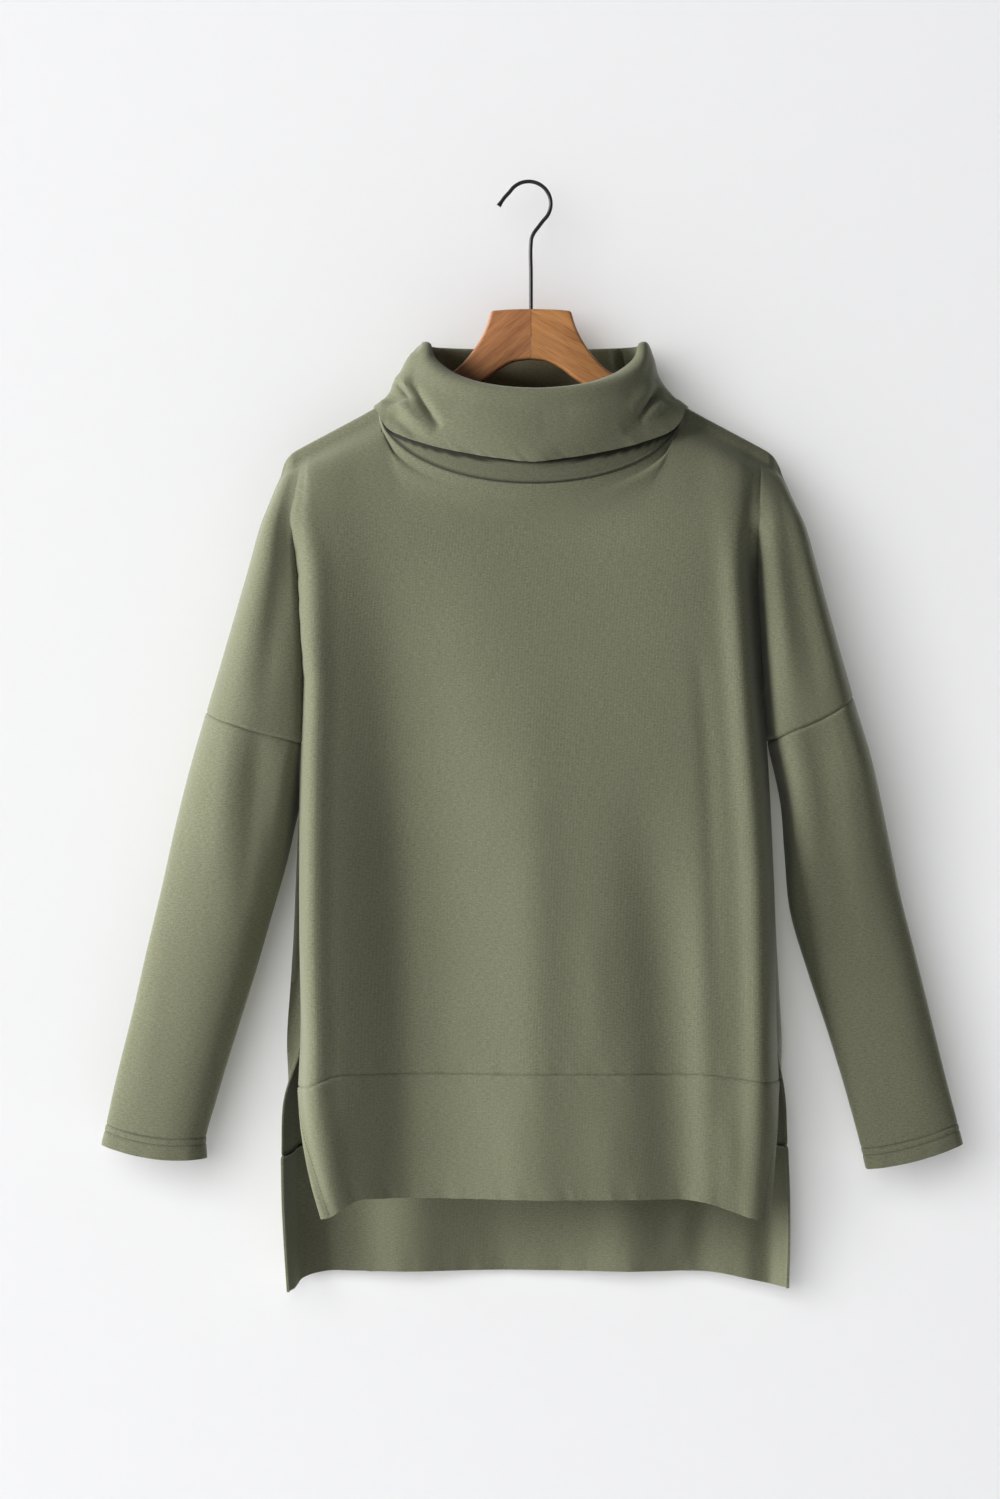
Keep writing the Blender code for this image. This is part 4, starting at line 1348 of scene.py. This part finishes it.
def put(socket, value):
    """Links a socket to another one, or sets it to a plain value."""
    if isinstance(value, bpy.types.NodeSocket):
        socket.id_data.links.new(value, socket)
    else:
        socket.default_value = value


def fill(made, **values):
    """Puts values into a node's inputs by name, as Base_Color=socket."""
    for key, value in values.items():
        put(made.inputs[key.replace("_", " ")], value)
    return made


def node(tree, kind, **values):
    return fill(tree.nodes.new("ShaderNode" + kind), **values)


def use_group(tree, group, **values):
    made = tree.nodes.new("ShaderNodeGroup")
    made.node_tree = group
    return fill(made, **values)


def new_group(name, inputs, outputs):
    """A group, the sockets that bring its inputs, and those that take its outputs. Inputs
    give their own value, or None for a place; outputs give their kind."""
    group = bpy.data.node_groups.new(name, "ShaderNodeTree")
    for label, value in inputs.items():
        kind = {type(None): "Vector", tuple: "Color", float: "Float"}[type(value)]
        socket = group.interface.new_socket(
            label, in_out="INPUT", socket_type="NodeSocket" + kind)
        if value is not None:
            socket.default_value = value
    for label, kind in outputs.items():
        group.interface.new_socket(
            label, in_out="OUTPUT", socket_type="NodeSocket" + kind)
    start = group.nodes.new("NodeGroupInput")
    end = group.nodes.new("NodeGroupOutput")
    return group, start.outputs, end.inputs


print("a node takes its inputs by name, as plain values or as links")


# %% Sums, colours and noise
def maths(operation, *values, kind="Math"):
    """The result of a maths node, in the tree of the sockets among its values."""
    tree = next(v.id_data for v in values if isinstance(v, bpy.types.NodeSocket))
    made = node(tree, kind)
    made.operation = operation
    for socket, value in zip(made.inputs, values):
        put(socket, value)
    return made.outputs[0]


def scaled(colour, level):
    """A colour made lighter or darker by a level."""
    made = maths("SCALE", colour, kind="VectorMath").node
    return fill(made, Scale=level).outputs[0]


def varied(colour, noise, strength):
    """A colour made lighter and darker by noise around a half."""
    shift = maths("MULTIPLY", maths("SUBTRACT", noise, 0.5), strength)
    return scaled(colour, maths("ADD", maths("MULTIPLY", shift, 2.0), 1.0))


def stretched_noise(place, scale, **values):
    """Noise on coordinates of uneven scale: short threads, or the grain of wood."""
    tree = place.id_data
    spread = node(tree, "Mapping", Vector=place, Scale=scale).outputs[0]
    return node(tree, "TexNoise", Vector=spread, Scale=1.0, **values).outputs["Fac"]

# %% Group: uneven tone
tone_group, start, end = new_group(
    "uneven_tone", {"Place": None, "Colour": GREY, "Size": 20.0, "Strength": 0.1},
    {"Colour": "Color"})
cloud = node(tone_group, "TexNoise", Vector=start["Place"], Scale=start["Size"], Detail=3.0,
             Roughness=0.55).outputs["Fac"]
put(end["Colour"], varied(start["Colour"], cloud, start["Strength"]))
print(tone_group.name, "is ready")

# %% Group: fine knit
RIBS, COURSES = 800.0, 900.0     # in a metre, across and down

knit_group, start, end = new_group(
    "fine_knit", {"Place": None, "Colour": GREY, "Heather": 0.1},
    {"Colour": "Color", "Height": "Float"})
yarn = stretched_noise(start["Place"], (240, 900, 1), Detail=2.0, Roughness=0.6)
fleck = stretched_noise(start["Place"], (700, 900, 1), Detail=1.0)
both = maths("ADD", maths("MULTIPLY", yarn, 0.5), maths("MULTIPLY", fleck, 0.5))
apart = node(knit_group, "SeparateXYZ", Vector=start["Place"]).outputs
rib, course = (
    maths("ABSOLUTE", maths("SINE", maths("MULTIPLY", way, count * math.pi)))
    for way, count in ((apart[0], RIBS), (apart[1], COURSES)))
height = maths("ADD", maths("MULTIPLY", rib, 0.5), maths("MULTIPLY", course, 0.25))
put(end["Height"], maths("ADD", height, maths("MULTIPLY", both, 1.2)))
put(end["Colour"], varied(start["Colour"], both, start["Heather"]))
print(knit_group.name, "is ready")

# %% Group: shade in a groove
# Painted shade: the colour is darkened wherever the mask is set.
shade_group, start, end = new_group(
    "groove_shade", {"Colour": GREY, "Mask": 0.0, "Depth": 0.8}, {"Colour": "Color"})
left = maths("SUBTRACT", 1.0, maths("MULTIPLY", start["Mask"], start["Depth"]))
put(end["Colour"], scaled(start["Colour"], left))
print(shade_group.name, "is ready")

# %% [markdown]
# ## Finishes
# The jersey is matt, with a soft sheen where its nap catches light at a glancing angle.
# The bands and the collar are the same cloth folded double, so they only lie smoother.


# %% Material helper
def plain_material(name, roughness, metallic=0.0):
    made = bpy.data.materials.new(name)
    made.use_nodes = True
    shader = made.node_tree.nodes["Principled BSDF"]
    fill(shader, Roughness=roughness, Metallic=metallic)
    return made, made.node_tree, shader


def toned_material(name, roughness, colour, size, strength, metallic=0.0):
    """One colour, varied softly in the object's own space."""
    made, tree, shader = plain_material(name, roughness, metallic)
    place = node(tree, "TexCoord").outputs["Object"]
    tone = use_group(
        tree, tone_group, Place=place, Colour=colour, Size=size, Strength=strength)
    fill(shader, Base_Color=tone.outputs["Colour"])
    print(name, "is ready")
    return made

# %% Sage jersey
SAGE = (0.139, 0.143, 0.090, 1)


def jersey(name, heather, relief):
    made, tree, shader = plain_material(name, 0.92)
    place = node(tree, "UVMap")
    place.uv_map = "cloth"
    # The seam attribute brings the painted shade of the seams and of the stand under the
    # collar.
    seam = node(tree, "Attribute")
    seam.attribute_name = "seam"
    tone = use_group(
        tree, tone_group, Place=place.outputs[0], Colour=SAGE, Size=26.0, Strength=0.05)
    knit = use_group(tree, knit_group, Place=place.outputs[0],
                     Colour=tone.outputs["Colour"], Heather=heather)
    shade = use_group(tree, shade_group, Colour=knit.outputs["Colour"],
                      Mask=seam.outputs["Fac"], Depth=0.85)
    bump = node(tree, "Bump", Strength=relief, Distance=0.00025,
                Height=knit.outputs["Height"])
    fill(shader, Base_Color=shade.outputs["Colour"], Normal=bump.outputs[0])
    shader.inputs["Sheen Weight"].default_value = 0.18
    shader.inputs["Sheen Roughness"].default_value = 0.45
    shader.inputs["Specular IOR Level"].default_value = 0.25
    print(name, "heather", heather)
    return made


single_jersey = jersey("sage_jersey", 0.80, 0.6)
double_jersey = jersey("sage_jersey_double", 0.70, 0.5)

# %% Thread
thread = toned_material("sage_thread", 0.7, (0.060, 0.064, 0.041, 1), 400.0, 0.2)

# %% [markdown]
# ## Oiled beech
# Each arm was sawn so that its grain runs along the arm, and the mitre shows the two grains
# meeting like a roof. Wood is stretched noise: long along the grain, short across it.
# Turning the coordinates by the slope of the arm before stretching them is enough. The right
# arm is also given lighter colours, as painted light for the brighter light on that arm.

# %% Beech for one arm
PORE = (0.62, 0.56, 0.5, 1)
WHITE = (1, 1, 1, 1)


def ramp(value, *stops):
    """A colour that runs from the first stop's to the second's."""
    made = node(value.id_data, "ValToRGB", Fac=value)
    for element, (position, colour) in zip(made.color_ramp.elements, stops):
        element.position, element.color = position, colour
    return made.outputs[0]


def beech(name, slope, base, dark):
    made, tree, shader = plain_material(name, 0.55)
    place = node(tree, "TexCoord").outputs["Object"]
    turned = node(tree, "Mapping", Vector=place,
                  Rotation=(0.0, math.radians(slope), 0.0)).outputs[0]
    grain = stretched_noise(
        turned, (9.0, 60.0, 150.0), Detail=5.0, Roughness=0.62, Distortion=0.6)
    pores = stretched_noise(turned, (60.0, 500.0, 1300.0), Detail=2.0)
    colour = maths("MULTIPLY", ramp(grain, (0.34, dark), (0.66, base)),
                   ramp(pores, (0.30, PORE), (0.46, WHITE)), kind="VectorMath")
    tone = use_group(tree, tone_group, Place=place, Colour=colour, Size=14.0, Strength=0.10)
    bump = node(tree, "Bump", Strength=0.15, Distance=0.0003, Height=pores)
    fill(shader, Base_Color=tone.outputs["Colour"], Normal=bump.outputs[0])
    shader.inputs["Coat Weight"].default_value = 0.06
    shader.inputs["Coat Roughness"].default_value = 0.35
    print(name, "grain at", slope, "degrees")
    return made


beech_left = beech(
    "oiled_beech_left", 40.0, (0.395, 0.168, 0.058, 1), (0.258, 0.098, 0.032, 1))
# Painted light: the right arm's colours are lighter than the left's for the brighter light on
# it; the slope of its grain is its own.
beech_right_painted_light = beech(
    "oiled_beech_right", -30.0, (0.475, 0.215, 0.066, 1), (0.33, 0.135, 0.040, 1))

# %% Black wire
black_wire = toned_material(
    "black_wire_finish", 0.38, (0.017, 0.017, 0.018, 1), 300.0, 0.3, metallic=0.4)

# %% [markdown]
# ## Joining the pieces to the part
# Every piece rides on the part's one body. Cloth pieces stand for the solids of the same
# name. A table lists how large each was cut: a flat width and length, and the area where
# the cut isn't a rectangle. That is the cut of what shows, all round on a tube. The table
# also lists how each hangs and what it rests on; the script makes no further use of it.


# %% Materials, bodies and slots
def join(piece, finish, solid=None):
    """A piece's finish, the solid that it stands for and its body."""
    piece.data.materials.clear()
    piece.data.materials.append(finish)
    if solid:
        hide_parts(solid)
    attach(piece, "root")


for name, piece in cloth.items():
    doubled = "band" in name or name == "collar"
    join(piece, double_jersey if doubled else single_jersey, name)
for piece in stitches.values():
    join(piece, thread)
for side, finish in (("left", beech_left), ("right", beech_right_painted_light)):
    join(arms[side], finish, "hanger_" + side)
join(wire_hook, black_wire, "hanger_hook")
print(len(cloth), "cloth pieces,", len(stitches), "rows of stitches")

# %% The cut of each sheet
ON_ARMS = ["wooden_arm_left", "wooden_arm_right"]
ON_PANELS = ["tunic_front", "tunic_back"]
CUTS = table("name width length area held rests_on", [
    ("front", 0.66, 0.60, 0.305, "hung", ON_ARMS),
    ("back", 0.66, 0.66, 0.321, "hung", ON_ARMS),
    ("front_band", 0.45, 0.12, 0.048, "hung", ["tunic_front"]),
    ("back_band", 0.47, 0.13, 0.057, "hung", ["tunic_back"]),
    ("sleeve_left", 0.26, 0.40, 0.092, "hung", ON_PANELS),
    ("sleeve_right", 0.26, 0.41, 0.094, "hung", ON_PANELS),
    ("collar", 0.62, 0.14, 0.083, "folded", ON_PANELS),
])
print(len(CUTS), "sheets declared")

# %% [markdown]
# ## Wall, floor, light and camera
# A garment is shown close to a pale wall, so that its soft shadow falls beside it. The wall
# is clear from behind and lets lamps shine through from that side, because the back of the
# tunic has to be seen as well. The main light is a tall soft window on the left. It grazes
# the cloth, so every shallow fold shows. On the wall the same grazing light would throw a
# shadow as wide as the tunic, so the window is linked to the garment alone, and a broad
# panel in front, linked to the wall and floor alone, gives the wall its soft, close shadow.

# %% Wall and floor
WALL_Y = 0.050
FLOOR_Z = -1.55
WIDE, HIGH = 8.0, 6.0    # half the width of both, and the wall's top
pale, tree, shader = plain_material("pale_paint", 0.9)
fill(shader, Base_Color=(0.86, 0.86, 0.87, 1))
wall_paint, tree, shader = plain_material("wall_paint", 0.9)
fill(shader, Base_Color=(0.88, 0.88, 0.885, 1))
see_through = maths("MAXIMUM", node(tree, "NewGeometry").outputs["Backfacing"],
                    node(tree, "LightPath").outputs["Is Shadow Ray"])
choose = node(tree, "MixShader", Fac=see_through)
put(choose.inputs[1], shader.outputs[0])
put(choose.inputs[2], node(tree, "BsdfTransparent").outputs[0])
fill(tree.nodes["Material Output"], Surface=choose.outputs[0])


def stage_plane(name, finish, corners):
    """A plane of the stage, which isn't part of the garment."""
    mesh = bpy.data.meshes.new(name)
    mesh.from_pydata(corners, [], [(0, 1, 2, 3)])
    mesh.materials.append(finish)
    obj = add_object(name, mesh)
    return obj


wall = stage_plane("wall", wall_paint, [
    (-WIDE, WALL_Y, FLOOR_Z), (WIDE, WALL_Y, FLOOR_Z), (WIDE, WALL_Y, HIGH),
    (-WIDE, WALL_Y, HIGH)])
floor = stage_plane("floor", pale, [
    (-WIDE, -WIDE, FLOOR_Z), (WIDE, -WIDE, FLOOR_Z), (WIDE, WIDE, FLOOR_Z),
    (-WIDE, WIDE, FLOOR_Z)])
print("wall", WALL_Y, "behind the hook, floor at", FLOOR_Z)

# %% Lamps
CHEST = Vector((0.0, 0.0, -0.5))              # where the lamps aim


def soft_panel(name, place, size, power, lights_only=None):
    """A soft lamp that faces the chest, and lights one collection where that is given."""
    lamp = bpy.data.lights.new(name, "AREA")
    lamp.shape, lamp.size, lamp.size_y = "RECTANGLE", *size
    lamp.energy = power
    obj = add_object(name, lamp)
    obj.location = place
    obj.rotation_euler = (CHEST - Vector(place)).to_track_quat("-Z", "Y").to_euler()
    obj.light_linking.receiver_collection = lights_only


def collection(name, pieces):
    made = bpy.data.collections.new(name)
    for piece in pieces:
        made.objects.link(piece)
    return made


garment = collection(
    "garment", [*cloth.values(), *stitches.values(), *arms.values(), wire_hook])
backdrop = collection("backdrop", [wall, floor])
soft_panel("side_window", (-6.4, -2.33, 0.8), (4.0, 2.6), 1090, garment)
soft_panel("wall_wash", (-3.0, -6.3, 1.3), (7.0, 5.0), 438, backdrop)
soft_panel("back_left", (-1.8, 2.6, 0.4), (1.8, 2.0), 62)
soft_panel("back_right", (2.0, 2.4, 0.2), (1.6, 1.8), 34)
world = bpy.data.worlds.new("pale_room")
world.use_nodes = True
fill(world.node_tree.nodes["Background"], Color=(0.93, 0.94, 0.96, 1), Strength=0.14)
bpy.context.scene.world = world
bpy.context.scene.view_settings.view_transform = "Standard"
print("a side window, a wall wash, two lamps behind and a pale room")

# %% Camera
VIEW_HIGH = 1.3041        # height of the view at the hanger, in metres
CAMERA_AWAY = 3.2
SENSOR = 36.0
lens_data = bpy.data.cameras.new("shop_camera")
lens_data.sensor_width = SENSOR
lens_data.lens = SENSOR * CAMERA_AWAY / VIEW_HIGH
lens_data.clip_end = 50.0
camera = add_object("shop_camera", lens_data)
camera.location = (-0.027, -CAMERA_AWAY, -0.4925)
camera.rotation_euler = (math.radians(90), 0, 0)
bpy.context.scene.camera = camera
print("lens", round(lens_data.lens, 1), "mm")
